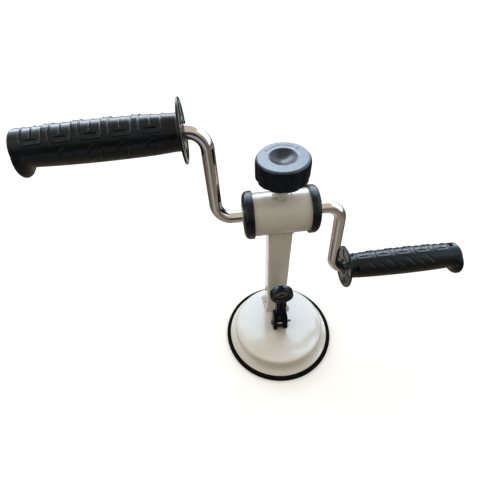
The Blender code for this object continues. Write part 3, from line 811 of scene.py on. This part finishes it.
    # cross bolt: slotted round head on the left, thread on the right
    bm = bmesh.new()
    thread = []
    x = CHEEK_OUT + GAP + 2.9
    while x < 14.9:
        thread += [(1.5, x), (1.5, x + 0.1), (1.26, x + 0.28), (1.26, x + 0.34)]
        x += 0.5
    prof = [(0, -11.05), (1.6, -11.1), (2.9, -10.95), (3.5, -10.6), (3.75, -10.2), (3.75, -CHEEK_OUT - GAP),
            (BOLT_R, -CHEEK_OUT - GAP), (BOLT_R, CHEEK_OUT), (1.5, CHEEK_OUT + 0.1)] + thread \
        + [(1.4, 15.1), (1.1, 15.5), (0, 15.5)]
    revolve(bm, prof, 32, "X", c)
    bolt = to_object("lever_bolt_turned", bm, m["dark"])
    for low, high in (((-12, STUD_Y - 0.38, PIN_Z - 2.3), (-10.4, STUD_Y + 0.38, PIN_Z + 2.3)),
                      ((-12, STUD_Y - 2.3, PIN_Z - 0.38), (-10.4, STUD_Y + 2.3, PIN_Z + 0.38))):
        bm = bmesh.new()
        box(bm, low, high)
        join_or_cut(bolt, to_object("bolt_recess", bm, None), "DIFFERENCE")
    place(bolt, "cam_lever", "dark_steel", "lever_bolt")

    # brass nut: hexagon with turned chamfers
    bm = bmesh.new()
    low, high = CHEEK_OUT + GAP, CHEEK_OUT + GAP + 2.9
    across = 2.95 * math.cos(math.pi / 6)

    def hexagon(k, r, s, a):
        turn = (a + math.pi / 6) % (math.pi / 3) - math.pi / 6
        return (min(r, across / math.cos(turn)) if r > 2.4 else r), s

    prof = [(1.5 + GAP / 2, low), (2.6, low), (2.95, low + 0.3), (2.95, high - 0.35), (2.6, high),
            (1.5 + GAP / 2, high)]
    revolve(bm, prof, 72, "X", c, hexagon)
    place(to_object("lever_nut_turned", bm, m["brass"], 24.0), "cam_lever", "brass", "lever_nut")


# --------------------------------------------------------------------------
# post, hub, caps
# --------------------------------------------------------------------------
def rounded_square(half, radius, per_corner):
    points = []
    for k, (sx, sy) in enumerate(((1, 1), (-1, 1), (-1, -1), (1, -1))):
        for i in range(per_corner + 1):
            a = math.pi / 2 * (k + i / per_corner)
            points.append((sx * (half - radius) + radius * math.cos(a), sy * (half - radius) + radius * math.sin(a)))
    return points


def build_post(m):
    half = POST_W / 2
    bm = bmesh.new()
    outer = rounded_square(half, 2.4, 8)
    inner = rounded_square(half - POST_WALL, 1.2, 8)
    reach = HUB_R + GAP

    def crown(y):
        return HUB_Z - math.sqrt(max(0.0, reach * reach - y * y))

    foot = COVER_TOP + GAP
    loops = []
    for outline, low_first in ((outer, True), (inner, False)):
        levels = [[bm.verts.new((x, y + HUB_Y, foot)) for x, y in outline]]
        for t in (0.25, 0.5, 0.75):
            levels.append([bm.verts.new((x, y + HUB_Y, foot + (crown(y) - foot) * t)) for x, y in outline])
        levels.append([bm.verts.new((x, y + HUB_Y, crown(y))) for x, y in outline])
        loops += levels if low_first else levels[::-1]
    n = len(outer)
    for a, b in zip(loops, loops[1:] + loops[:1]):
        for i in range(n):
            j = (i + 1) % n
            bm.faces.new((a[i], a[j], b[j], b[i]))
    place(to_object("post_tube", bm, m["enamel_post"]), "stand", "white_enamel", "post")

    # fillet weld round the foot: broad down the left side, a bead across the front, a blob on the right
    corner = rounded_square(half + 0.2, 2.6, 6)
    ring = []
    for (x0, y0), (x1, y1) in zip(corner, corner[1:] + corner[:1]):
        steps = max(1, int(math.hypot(x1 - x0, y1 - y0) / 0.6))
        ring += [(x0 + (x1 - x0) * i / steps, y0 + (y1 - y0) * i / steps) for i in range(steps)]
    bm = bmesh.new()

    def bead(i, t):
        x, y = ring[i]
        on_left = step01(0.70, 0.98, -x / half)
        on_right = step01(0.70, 0.98, x / half)
        on_front = step01(0.70, 0.98, -y / half)
        size = 1.0
        size = max(size, on_left * (3.4 + 2.0 * step01(-12.0, 9.0, y)) * (1.0 - 0.7 * step01(9.5, 12.0, y)))
        size = max(size, on_right * (2.2 + 6.2 * (1.0 - step01(-11.5, -4.5, y))))
        size = max(size, on_front * (3.3 + 0.9 * (1.0 - step01(-11.0, 0.0, x)) + 3.4 * step01(8.0, 12.0, x)))
        size *= 1.0 + 0.07 * math.sin(i * 0.95) + 0.26 * wander((x, y, 0), 0.42, 3.0)
        flat = 0.86 + 0.14 * abs(math.sin(t))                  # a little lower than it is wide
        return max(0.6, size * flat * (1.0 + 0.10 * wander((x, y, math.cos(t)), 1.1, 9.0)))

    sweep(bm, [(x, y + HUB_Y, foot - 0.2) for x, y in ring], bead, 18, closed=True, up=(0, 0, 1))
    place(to_object("foot_weld", bm, m["weld"], 70.0), "stand", "white_enamel")

    # saddle weld under the hub
    bm = bmesh.new()

    def thin(i, t):
        x, y = ring[i]
        size = 1.25 * (1.0 + 0.14 * math.sin(i * 1.1) + 0.3 * wander((x, y, 5), 0.5, 1.0))
        return max(0.5, size)

    sweep(bm, [(x, y + HUB_Y, crown(y) - 0.15) for x, y in ring], thin, 12, closed=True, up=(0, 0, 1))
    place(to_object("saddle_weld", bm, m["weld"], 70.0), "stand", "white_enamel")


def build_hub(m):
    c = (0, HUB_Y, HUB_Z)
    bm = bmesh.new()
    prof = [(HUB_BORE, -HUB_HALF), (HUB_R - 0.3, -HUB_HALF), (HUB_R, -HUB_HALF + 0.3)]
    prof += [(HUB_R, x) for x in (-20, -10, 0, 10, 20)]
    prof += [(HUB_R, HUB_HALF - 0.3), (HUB_R - 0.3, HUB_HALF), (HUB_BORE, HUB_HALF)]
    revolve(bm, prof, 128, "X", c)
    tube = to_object("hub_housing", bm, m["enamel_hub_painted_shade"])
    bm = bmesh.new()
    revolve(bm, [(0, 10), (4.6, 10), (4.6, 30), (0, 30)], 40, "Z", c)
    join_or_cut(tube, to_object("hub_screw_hole", bm, None), "DIFFERENCE")
    place(tube, "stand", "white_enamel", "hub_tube")

    # threaded boss, its foot cut to the tube
    reach = HUB_R + GAP
    steps = 64
    bm = bmesh.new()
    bore = SCREW_R + GAP
    rows = []
    for r, z in ((bore, None), (BOSS_R, None), (BOSS_R, BOSS_TOP - 0.9), (BOSS_R - 0.25, BOSS_TOP - 0.25),
                 (BOSS_R - 0.9, BOSS_TOP), (bore + 0.5, BOSS_TOP), (bore, BOSS_TOP - 0.5)):
        row = []
        for i in range(steps):
            a = 2 * math.pi * i / steps
            x, y = r * math.cos(a), r * math.sin(a)
            row.append(bm.verts.new((x, y + HUB_Y, HUB_Z + math.sqrt(reach * reach - y * y) if z is None else z)))
        rows.append(row)
    for a, b in zip(rows, rows[1:] + rows[:1]):
        for i in range(steps):
            j = (i + 1) % steps
            bm.faces.new((a[i], a[j], b[j], b[i]))
    place(to_object("tension_boss_turned", bm, m["enamel_hub_painted_shade"]), "stand", "white_enamel", "tension_boss")

    # lumpy weld round the boss
    bm = bmesh.new()
    n = 90

    def lumps(i, t):
        a = 2 * math.pi * i / n
        size = 1.15 + 0.55 * max(0.0, math.cos(a + 0.5)) + 0.45 * max(0.0, math.cos(a - math.pi + 0.4))
        size *= 1.0 + 0.30 * wander((math.cos(a) * 3, math.sin(a) * 3, 0), 1.1, 5.0) + 0.16 * math.sin(9 * a)
        return max(0.4, size)

    path = []
    for i in range(n):
        a = 2 * math.pi * i / n
        r = BOSS_R + 0.25
        x, y = r * math.cos(a), r * math.sin(a)
        path.append((x, y + HUB_Y, HUB_Z + math.sqrt(HUB_R * HUB_R - y * y) + 0.35))
    sweep(bm, path, lumps, 14, closed=True, up=(0, 0, 1))
    for where, size, seed in (((9.1, -1.2, 0.0), (2.3, 1.6, 1.1), 2.0), ((8.2, -3.4, 0.0), (1.5, 1.3, 1.0), 4.0),
                              ((-8.4, -2.0, 0.0), (1.4, 1.9, 1.2), 6.0), ((-7.0, -4.4, 0.0), (1.2, 1.0, 0.9), 8.0),
                              ((2.2, -7.6, 0.0), (1.3, 0.9, 0.7), 11.0)):
        x, y, _ = where
        spot = Vector((x, y + HUB_Y, HUB_Z + math.sqrt(HUB_R * HUB_R - y * y)))
        made = bmesh.ops.create_icosphere(bm, subdivisions=3, radius=1.0)
        for v in made["verts"]:
            p = Vector((v.co.x * size[0], v.co.y * size[1], v.co.z * size[2]))
            v.co = spot + p * (1.0 + 0.22 * wander(v.co, 1.6, seed))
    place(to_object("boss_weld", bm, m["weld"], 80.0), "stand", "white_enamel")

    for side, axis in (("left", "-X"), ("right", "X")):
        bm = bmesh.new()
        prof = [(9.3, 22.9), (HUB_BORE - GAP, 22.9), (HUB_BORE - GAP, HUB_HALF + GAP), (HUB_R + GAP, HUB_HALF + GAP),
                (HUB_R + GAP, CAP_IN + 0.2), (HUB_R + 0.6, CAP_IN), (CAP_R - 0.5, CAP_IN), (CAP_R, CAP_IN + 0.5),
                (CAP_R, 28.4), (CAP_R - 0.16, 28.6), (CAP_R - 0.16, 28.8), (CAP_R, 29.0), (CAP_R, 31.6)]
        prof += [(CAP_R - 0.12, 32.8), (23.5, 33.8), (22.9, 34.9), (22.0, 35.8), (20.9, 36.5), (19.6, 37.0),
                 (18.1, 37.4), (16.4, 37.6), (12.6, 37.65), (12.2, 37.5), (11.8, 37.2), (11.0, 37.2), (10.6, 37.5),
                 (9.7, CAP_OUT), (9.3, 37.6)]
        revolve(bm, prof, 120, axis, c)
        place(to_object(f"{side}_cap_moulding", bm, m["cap"]), "stand", "cap_plastic", f"{side}_end_cap")
        bm = bmesh.new()
        prof = [(ROD_R + GAP, 20.2), (11.5, 20.2), (11.5, 22.6), (9.0, 22.6), (9.0, 37.9), (8.7, 38.2),
                (ROD_R + 0.7, 38.2), (ROD_R + GAP, 37.9)]
        revolve(bm, prof, 64, axis, c)
        place(to_object(f"{side}_bush_turned", bm, m["nylon"]), "stand", "nylon", f"{side}_bush")


# --------------------------------------------------------------------------
# cranks
# --------------------------------------------------------------------------
def build_cranks(m):
    for side, sign in (("left", -1), ("right", 1)):
        a = math.radians(CRANK_ANGLE)
        arm = Vector((0, math.cos(a), math.sin(a))) * (1 if sign < 0 else -1)
        out = Vector((sign, 0, 0))
        pin_end = PIN_END + GRIP_SHIFT[side]
        hub = Vector((0, HUB_Y, HUB_Z))
        points = [out * 1.2, out * 1.7, out * 20.0, out * 40.0]
        corner = out * ARM_X
        n = 28
        for i in range(n + 1):
            t = math.pi / 2 * i / n
            points.append(corner - out * BEND_R + arm * BEND_R + BEND_R * (out * math.sin(t) - arm * math.cos(t)))
        points.append(corner + arm * THROW / 2)
        corner = out * ARM_X + arm * THROW
        for i in range(n + 1):
            t = math.pi / 2 * i / n
            points.append(corner - arm * BEND_R + out * BEND_R + BEND_R * (-out * math.cos(t) + arm * math.sin(t)))
        points += [out * x + arm * THROW for x in (110.0, 150.0, 190.0, pin_end - 0.8, pin_end - 0.3, pin_end)]
        last = len(points) - 1
        size = {0: ROD_R - 0.6, 1: ROD_R, last: ROD_R - 0.8, last - 1: ROD_R - 0.25}
        bm = bmesh.new()
        plane = out.cross(arm)
        sweep(bm, [p + hub for p in points], lambda i, t: size.get(i, ROD_R), 56, up=plane)
        place(to_object(f"{side}_crank_rod", bm, m["chrome"]), "crank", "chrome_rod", f"{side}_crank")


# --------------------------------------------------------------------------
# grips
# --------------------------------------------------------------------------
# middles of the five moulded frames along each grip, and where the pattern's middle line
# stands at rest, in degrees from the front over the top
FRAMES = {"left": (195.2, 172.3, 149.4, 126.5, 103.6), "right": (189.4, 166.8, 144.2, 121.5, 99.0)}
PATTERN = {"left": 96.5, "right": 141.0}
SLOTS = {"left": (87.0, 205.6), "right": (85.6, 203.6)}


def rounded_box(u, v, hu, hv, r):
    """Signed distance to a rounded rectangle, negative inside."""
    qx, qy = abs(u) - hu + r, abs(v) - hv + r
    return min(max(qx, qy), 0.0) + math.hypot(max(qx, 0.0), max(qy, 0.0)) - r


def bar(u, v, hu, hv, r, edge=0.45):
    """1 inside a rounded bar, falling to 0 over its edge."""
    return 1.0 - step01(-edge, edge, rounded_box(u, v, hu, hv, r))


def wave(s, v, s0, v0, ds, dv, depth, lip):
    """A curved stroke from (s0, v0) to (s0 + ds, v0 + dv): a sharp step on its far
    side, edged by a fine lip, and rising again gently on the near one."""
    t = (v - v0) / dv
    if not -0.15 < t < 1.15:
        return 0.0
    k = min(1.0, max(0.0, t))
    hook = math.exp(-k / 0.10)
    centre = s0 + ds * (0.12 * (1.0 - hook) + 0.88 * k)
    slope = ds * (1.2 * hook + 0.88) / dv
    dist = (s - centre) / math.sqrt(1 + slope * slope)
    if dist > 2.0 or dist < -6.0:
        return 0.0
    ends = step01(-0.12, 0.12, t) * (1.0 - step01(0.85, 1.12, t))
    rise = math.exp(dist / 1.4) if dist < 0 else 1.0
    edge = lip * math.exp(-((dist - 0.55) / 0.42) ** 2)
    return depth * ends * (edge - rise * (1.0 - step01(-0.25, 0.35, dist)))


def relief(side, s, v):
    """Height of the moulded pattern over the grip's plain surface. v is the
    distance round the grip from the pattern's middle line."""
    w = v if side == "right" else -v          # the recesses are on one side only
    v = abs(v)
    h = 0.0
    frames = FRAMES[side]
    for mid in frames:
        u = s - mid
        if abs(u) > 13.0:
            continue
        d = rounded_box(u, v, 8.7, 16.7, 3.6)
        low_line = step01(14.4, 16.2, v)
        h += (0.55 - (0.28 if side == "left" else -0.15) * low_line) * math.exp(-(d / 0.48) ** 2)   # raised outline
        h -= 0.34 * (1.0 - step01(-1.3, -0.4, d))              # sunk panel
        inside = 1.0 - step01(-1.6, -0.8, d)
        h += 0.50 * inside * bar(u, v, 0.42, 10.4, 0.4, 0.42)  # tick
        h += (0.95 if side == "left" else 0.35) * math.exp(-((u / 0.7) ** 2 + ((v - 10.9) / 0.65) ** 2))
        h -= (0.62 if side == "left" else 0.95) * bar(u, v - 13.3, 5.4, 0.45, 0.4, 0.40)     # dash
    for a, b in zip(frames[1:], frames):
        u = s - (a + b) / 2
        if abs(u) < 3.0:
            h += 0.26 * bar(abs(u) - 0.95, v, 0.35, 4.6, 0.35, 0.4)
    for mid in frames[1:]:
        if side == "left":
            h += wave(s, v, mid, 20.0, 6.5, 7.2, 0.75, 0.0)
            h += wave(s, v, mid - 7.0, 25.3, 9.0, 12.5, 0.90, 0.85)
        else:
            h += wave(s, v, mid + 2.8, 19.8, 10.0, 10.0, 0.80, 0.0)
            h += wave(s, v, mid - 4.0, 25.2, 8.5, 12.0, 0.80, 0.10)
        h += wave(s, v, mid + 4.5, 34.5, 6.0, 8.0, 0.60, 0.20)
    # moulding recesses at both ends
    near, far = SLOTS[side]
    h -= 3.4 * bar(s - near, w - 9.0, 2.4, 1.6, 1.2, 0.35)
    h -= 3.4 * bar(s - far, w - 8.6, 2.2, 3.8, 1.8, 0.35)
    h -= 3.6 * bar(s - near - 1.3, w - 30.0, 4.0, 3.6, 1.5, 0.35)
    h += 3.0 * math.exp(-(((s - near - 0.2) / 1.0) ** 2 + ((w - 33.4) / 1.1) ** 2))
    h -= 3.4 * bar(s - far - 0.6, w - 35.5, 2.3, 3.4, 1.6, 0.35)
    return h


FLARE = ((202.0, 0.0), (204.6, 0.05), (206.0, 0.42), (207.0, 0.9), (208.0, 1.8), (209.0, 3.0), (210.0, 4.45),
         (211.0, 5.9), (212.0, 7.05), (212.8, 7.6), (213.5, 7.85), (214.0, 7.9), (216.0, 7.9))


def flare_at(s):
    for (s0, f0), (s1, f1) in zip(FLARE, FLARE[1:]):
        if s0 <= s <= s1:
            return f0 + (f1 - f0) * (s - s0) / (s1 - s0)
    return 0.0


def lane(table, s):
    """Smooth interpolation in a table of (station, radius)."""
    xs = [p[0] for p in table]
    for i in range(len(xs) - 1):
        if xs[i] <= s <= xs[i + 1]:
            t = (s - xs[i]) / (xs[i + 1] - xs[i])
            p0 = table[max(i - 1, 0)][1]
            p1, p2 = table[i][1], table[i + 1][1]
            p3 = table[min(i + 2, len(xs) - 1)][1]
            return 0.5 * (2 * p1 + (p2 - p0) * t + (2 * p0 - 5 * p1 + 4 * p2 - p3) * t * t
                          + (3 * p1 - p0 - 3 * p2 + p3) * t ** 3)
    return table[-1][1]


BODY = ((84.2, 14.5), (88.0, 14.4), (98.0, 15.0), (108.0, 15.5), (128.0, 15.9), (148.0, 16.1), (164.0, 16.0),
        (180.0, 15.75), (192.0, 15.4), (203.0, 14.97), (209.0, 14.9), (214.2, 14.9))


def build_grip(side, m):
    sign, axis = (-1, "-X") if side == "left" else (1, "X")
    a = math.radians(CRANK_ANGLE)
    arm = Vector((0, math.cos(a), math.sin(a))) * (1 if sign < 0 else -1)
    centre = (0, HUB_Y + arm.y * THROW, HUB_Z + arm.z * THROW)
    shift = GRIP_SHIFT[side]
    bore = LINER_R + GAP
    rows = [("plain", 0.0, 206.8), ("plain", bore, 206.8), ("plain", bore, 150.0), ("plain", bore, GRIP_IN + 0.4),
            ("plain", bore + 0.4, GRIP_IN)]
    r = 10.4
    while r < 23.4:
        rows.append(("face", r, GRIP_IN))
        r += 0.55
    rows += [("plain", 24.1, GRIP_IN), ("plain", 24.6, GRIP_IN + 0.12), ("plain", 24.93, GRIP_IN + 0.45),
             ("plain", 25.0, GRIP_IN + 0.85), ("plain", 25.0, GRIP_IN + 1.3), ("plain", 24.9, GRIP_IN + 1.65),
             ("plain", 24.6, GRIP_IN + 1.9), ("plain", 24.0, GRIP_IN + 2.02), ("plain", 20.0, GRIP_IN + 2.1),
             ("plain", 17.0, GRIP_IN + 2.25), ("plain", 15.8, GRIP_IN + 2.6), ("plain", 15.0, GRIP_IN + 3.3)]
    s = 84.2
    while s < 213.95:
        rows.append(("body", lane(BODY, s), s))
        s += 0.45 if s > 203.0 else 0.5
    rows += [("end", 14.88, 214.2), ("end", 14.7, 214.55), ("end", 14.4, 214.72), ("end", 13.9, GRIP_END),
             ("end", 12.0, GRIP_END), ("end", 9.0, GRIP_END), ("end", 6.0, GRIP_END), ("end", 3.0, GRIP_END),
             ("end", 0.0, GRIP_END)]

    # angle a: cos is Y, sin is Z; the flare sits at straight down, turned towards -Y (the front)
    flare_angle = -math.pi / 2 - math.radians(FLARE_TURN[side])
    pattern_angle = math.pi - math.radians(PATTERN[side])

    def shape(k, r, s, ang):
        kind = rows[k][0]
        away = (ang - flare_angle + math.pi) % (2 * math.pi) - math.pi
        if kind == "plain":
            return r, s + shift
        if kind == "face":
            # low ribs in a shallow ring on the inner face of the flange
            sunk = step01(12.2, 13.2, r) * (1.0 - step01(21.0, 22.0, r))
            spoke = (away + math.pi / 6) % (math.pi / 3) - math.pi / 6
            rib = 1.0 - step01(0.5, 1.1, abs(spoke) * r)
            return r, s + shift + 0.7 * sunk * (1.0 - rib)
        lobe = max(0.0, math.cos(away)) ** 1.2
        if kind == "end":
            lift = 7.9 * lobe * min(1.0, (r / 13.9) ** 2)
            tilt = GRIP_SLANT * math.cos(away) * min(1.0, r / 13.9)
            # shallow dish in the outer face
            dish = 0.5 * (1.0 - step01(8.0, 12.5, r)) if r < 12.5 else 0.0
            return r + lift, s + shift + tilt - dish
        tilt = GRIP_SLANT * math.cos(away) * max(0.0, (s - 200.0) / (GRIP_END - 200.0))
        v = ((ang - pattern_angle + math.pi) % (2 * math.pi) - math.pi) * 15.8
        edge = 1.0 - step01(209.5, 211.5, s)
        return r + flare_at(s) * lobe + relief(side, s + shift, v) * edge, s + shift + tilt

    bm = bmesh.new()
    revolve(bm, [(r, s) for _, r, s in rows], 216, axis, centre, shape)
    obj = to_object(f"{side}_grip_moulding", bm, m["grip"], 60.0)
    place(obj, f"{side}_grip", "grip_rubber", f"{side}_grip")


# --------------------------------------------------------------------------
# tension knob
# --------------------------------------------------------------------------
def build_knob(m):
    c = (0, HUB_Y, 0)
    pitch = 2 * math.pi / KNOB_LOBES

    def flute(r, s, a):
        turn = a + math.pi / 2 - math.radians(KNOB_PHASE)
        k = (turn + pitch / 2) % pitch - pitch / 2
        x = abs(k) / (0.27 * pitch)
        return 0.5 + 0.5 * math.cos(math.pi * x) if x < 1 else 0.0

    lo, hi = KNOB_LOW, KNOB_TOP
    prof = [(0, 250.5), (SCREW_R + GAP, 250.5), (SCREW_R + GAP, 234.2), (8.3, 234.2), (8.8, 234.4), (9.2, 235.0),
            (9.2, lo - 1.0), (9.5, lo - 0.3), (10.2, lo), (16.0, lo), (21.4, lo), (22.6, lo + 0.15),
            (23.6, lo + 0.75), (24.2, lo + 1.5), (24.45, lo + 2.4), (KNOB_R, lo + 3.6), (KNOB_R, 246.0),
            (KNOB_R, 250.0), (KNOB_R, hi - 5.8), (24.45, hi - 4.9), (24.3, hi - 3.9), (24.05, hi - 2.9),
            (23.7, hi - 2.0), (23.3, hi - 1.3), (22.85, hi - 0.72), (22.4, hi - 0.32), (21.95, hi - 0.08),
            (21.5, hi), (21.2, hi), (18.0, hi),
            (15.0, hi), (13.1, hi), (12.75, hi - 0.06), (12.45, hi - 0.22)]
    prof += [(r, hi - 5.7 * (1.0 - (r / 12.6) ** 2))
             for r in (12.1, 11.5, 10.7, 9.8, 8.8, 7.8, 6.8, 5.8, 4.8, 3.8, 2.8, 1.8, 0.9, 0)]

    def shape(k, r, s, a):
        if r < 19.0 or not lo - 0.5 < s:
            return r, s
        deep = (1.0 - step01(hi - 5.2, hi - 1.2, s)) if s > 250 else step01(19.5, 23.5, r)
        if s < 250:
            deep *= 0.55 + 0.45 * step01(lo, lo + 5.0, s)
        return r - 1.35 * flute(r, s, a) * deep, s

    bm = bmesh.new()
    revolve(bm, prof, 360, "Z", c, shape)
    knob = to_object("tension_knob_moulding", bm, m["knob"], 45.0)
    knob.data.materials.append(m["knob_top"])
    knob.data.materials.append(m["knob_dish"])
    # flat top faces take the greyer copy of the black (painted sheen), dish faces a darker copy (painted shade)
    for face in knob.data.polygons:
        c = face.center / MM
        if c.z > KNOB_TOP - 7.0 and math.hypot(c.x, c.y - HUB_Y) < 12.0:
            face.material_index = 2
        elif c.z > KNOB_TOP - 1.4:
            face.material_index = 1
    place(knob, "tension_knob", "knob_plastic", "tension_knob")

    # raised direction marks on the top: an arrow-ended arc between a minus and a plus
    bm = bmesh.new()
    low, high = KNOB_TOP - 0.15, KNOB_TOP + 0.22

    def slab(points):
        prism(bm, [(x, y + HUB_Y) for x, y in points], low, high, "Z")

    def polar(r, deg):
        return r * math.cos(math.radians(deg)), r * math.sin(math.radians(deg))

    n = 30
    start, end = 58.0, 122.0
    slab([polar(17.65, start + (end - start) * i / n) for i in range(n + 1)]
         + [polar(17.05, end - (end - start) * i / n) for i in range(n + 1)])
    slab([polar(18.7, 122.0), polar(17.35, 128.5), polar(16.0, 122.0)])
    slab([polar(16.0, 58.0), polar(17.35, 51.5), polar(18.7, 58.0)])
    for deg, plus in ((141.0, False), (39.0, True)):
        x, y = polar(17.35, deg)
        slab([(x - 1.8, y - 0.32), (x + 1.8, y - 0.32), (x + 1.8, y + 0.32), (x - 1.8, y + 0.32)])
        if plus:
            slab([(x - 0.32, y - 1.8), (x + 0.32, y - 1.8), (x + 0.32, y + 1.8), (x - 0.32, y + 1.8)])
    place(to_object("knob_marks", bm, m["knob_top"], 30.0), "tension_knob", "knob_plastic")


# --------------------------------------------------------------------------
def main():
    make_camera()
    make_stage()
    bpy.context.scene.view_settings.view_transform = "Standard"
    m = {
        # The three enamel copies are one white paint: the base's is tinted beige for the warm light in front and the
        # hub's is darkened for its shade, so painted light and painted shade.
        "enamel": enamel("enamel_base_painted_warm_light", (0.680, 0.652, 0.592), 0.12),
        "enamel_post": enamel("enamel_post", (0.70, 0.685, 0.635), 0.10),
        "enamel_hub_painted_shade": enamel("enamel_hub_painted_shade", (0.635, 0.620, 0.565), 0.24),
        "weld": weld_enamel_painted_shade(),
        "pad": pad_rubber(),
        "grip": grip_rubber(),
        "knob": knob_plastic(),
        "knob_top": knob_top_plastic(),
        "knob_dish": knob_dish_plastic(),
        "cap": cap_plastic(),
        "lever": lever_plastic("lever_plastic_moulded", 0.03),
        "disc": lever_plastic("lever_disc_polished", 0.38),
        "chrome": chrome(),
        "steel": turned_metal("zinc_steel", (0.60, 0.60, 0.62), (0.47, 0.47, 0.50), 0.22, 0.42),
        "steel_z": turned_metal("zinc_steel_upright", (0.60, 0.60, 0.62), (0.47, 0.47, 0.50), 0.22, 0.42, "Z"),
        # near-black copy of the stud's metal: painted shade on its lower part
        "shank": turned_metal("stud_painted_shade", (0.020, 0.021, 0.024), (0.012, 0.012, 0.013), 0.35, 0.55, "Z"),
        "stud": turned_metal("polished_stud", (0.84, 0.86, 0.90), (0.74, 0.76, 0.80), 0.06, 0.16, "Z"),
        "dark": turned_metal("blackened_steel", (0.11, 0.11, 0.12), (0.07, 0.065, 0.065), 0.28, 0.5, "X", 2200.0),
        "brass": turned_metal("turned_brass", (0.38, 0.33, 0.17), (0.28, 0.23, 0.11), 0.24, 0.42, "X", 2200.0),
        "nylon": nylon(),
        "lining": brake_lining(),
    }
    build_base(m)
    build_lever(m)
    build_post(m)
    build_hub(m)
    build_cranks(m)
    build_grip("left", m)
    build_grip("right", m)
    build_knob(m)

    # pieces inside the housing, and the stud, keep their CAD shape
    for node, mat in (("stud_guide", "nylon"), ("draw_stud", "stud"), ("brake_drum", "steel"),
                      ("left_grub_screw", "steel_z"), ("right_grub_screw", "steel_z"),
                      ("left_thrust_washer", "steel"), ("right_thrust_washer", "steel"),
                      ("left_grip_retainer", "steel"), ("right_grip_retainer", "steel"),
                      ("left_grip_liner", "cap"), ("right_grip_liner", "cap"),
                      ("brake_shoe", "lining"), ("tension_screw", "steel_z")):
        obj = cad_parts[node]
        if not obj.material_slots:
            obj.data.materials.append(m[mat])
        for s in obj.material_slots:
            s.material = m[mat]
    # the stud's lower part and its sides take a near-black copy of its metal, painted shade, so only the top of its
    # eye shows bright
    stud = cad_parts["draw_stud"]
    stud.data.materials.append(m["shank"])
    for face in stud.data.polygons:
        if face.center.z < (PIN_Z + 2.6) * MM or abs(face.normal.x) > 0.7:
            face.material_index = len(stud.data.materials) - 1

    # the window: its lower part shows on all but the base, its upper part on paint and
    # black plastic; on the cover only the post and the lever stand in its way
    pieces = {o.name: o for o in bpy.data.objects if o.type == "MESH" and o.name != "floor"}
    base = ("base_cover_pressing", "foot_weld", "suction_pad_moulding")
    shine("window_low", 2.0, 30.0, 4.0, (6.6, 1.9), 5.3, (0.80, 0.91, 1.0),
          [o for n, o in pieces.items() if n not in base and n != "tension_knob_moulding" and "crank" not in n])
    high = ("hub_tube_shell", "saddle_weld", "right_grip_moulding")
    shine("window_high", 20.0, 55.0, 4.0, (3.6, 1.9), 4.3, (0.66, 0.83, 1.0),
          [o for n, o in pieces.items() if n in high or "cap" in n])
    shine("window_on_knob", -11.0, 49.0, 4.0, (3.4, 1.9), 8.2, (0.78, 0.90, 1.0), [pieces["tension_knob_moulding"]])
    shine("sill_on_knob", 8.0, 6.0, 4.0, (3.6, 1.7), 6.0, (0.80, 0.90, 1.0), [pieces["tension_knob_moulding"]])
    shine("window_on_cover", 31.0, 55.0, 3.0, (2.8, 1.50), 6.6, (0.56, 0.77, 1.0),
          [pieces["base_cover_pressing"], pieces["foot_weld"]],
          [pieces["post_tube"], pieces["foot_weld"], pieces["cam_lever_moulding"]])
    # a pale card lying on the table behind, for the post's left side and the flanges' inner faces
    card("card_behind", (0.0, 0.160), (0.12, 0.165), 0.62, (0.97, 0.99, 1.0),
         [pieces["post_tube"], pieces["left_grip_moulding"], pieces["right_grip_moulding"]])
    card("card_far", (-0.02, 0.55), (0.30, 0.40), 0.62, (0.92, 0.96, 1.0), [pieces["left_grip_moulding"]])

    low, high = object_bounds()


main()
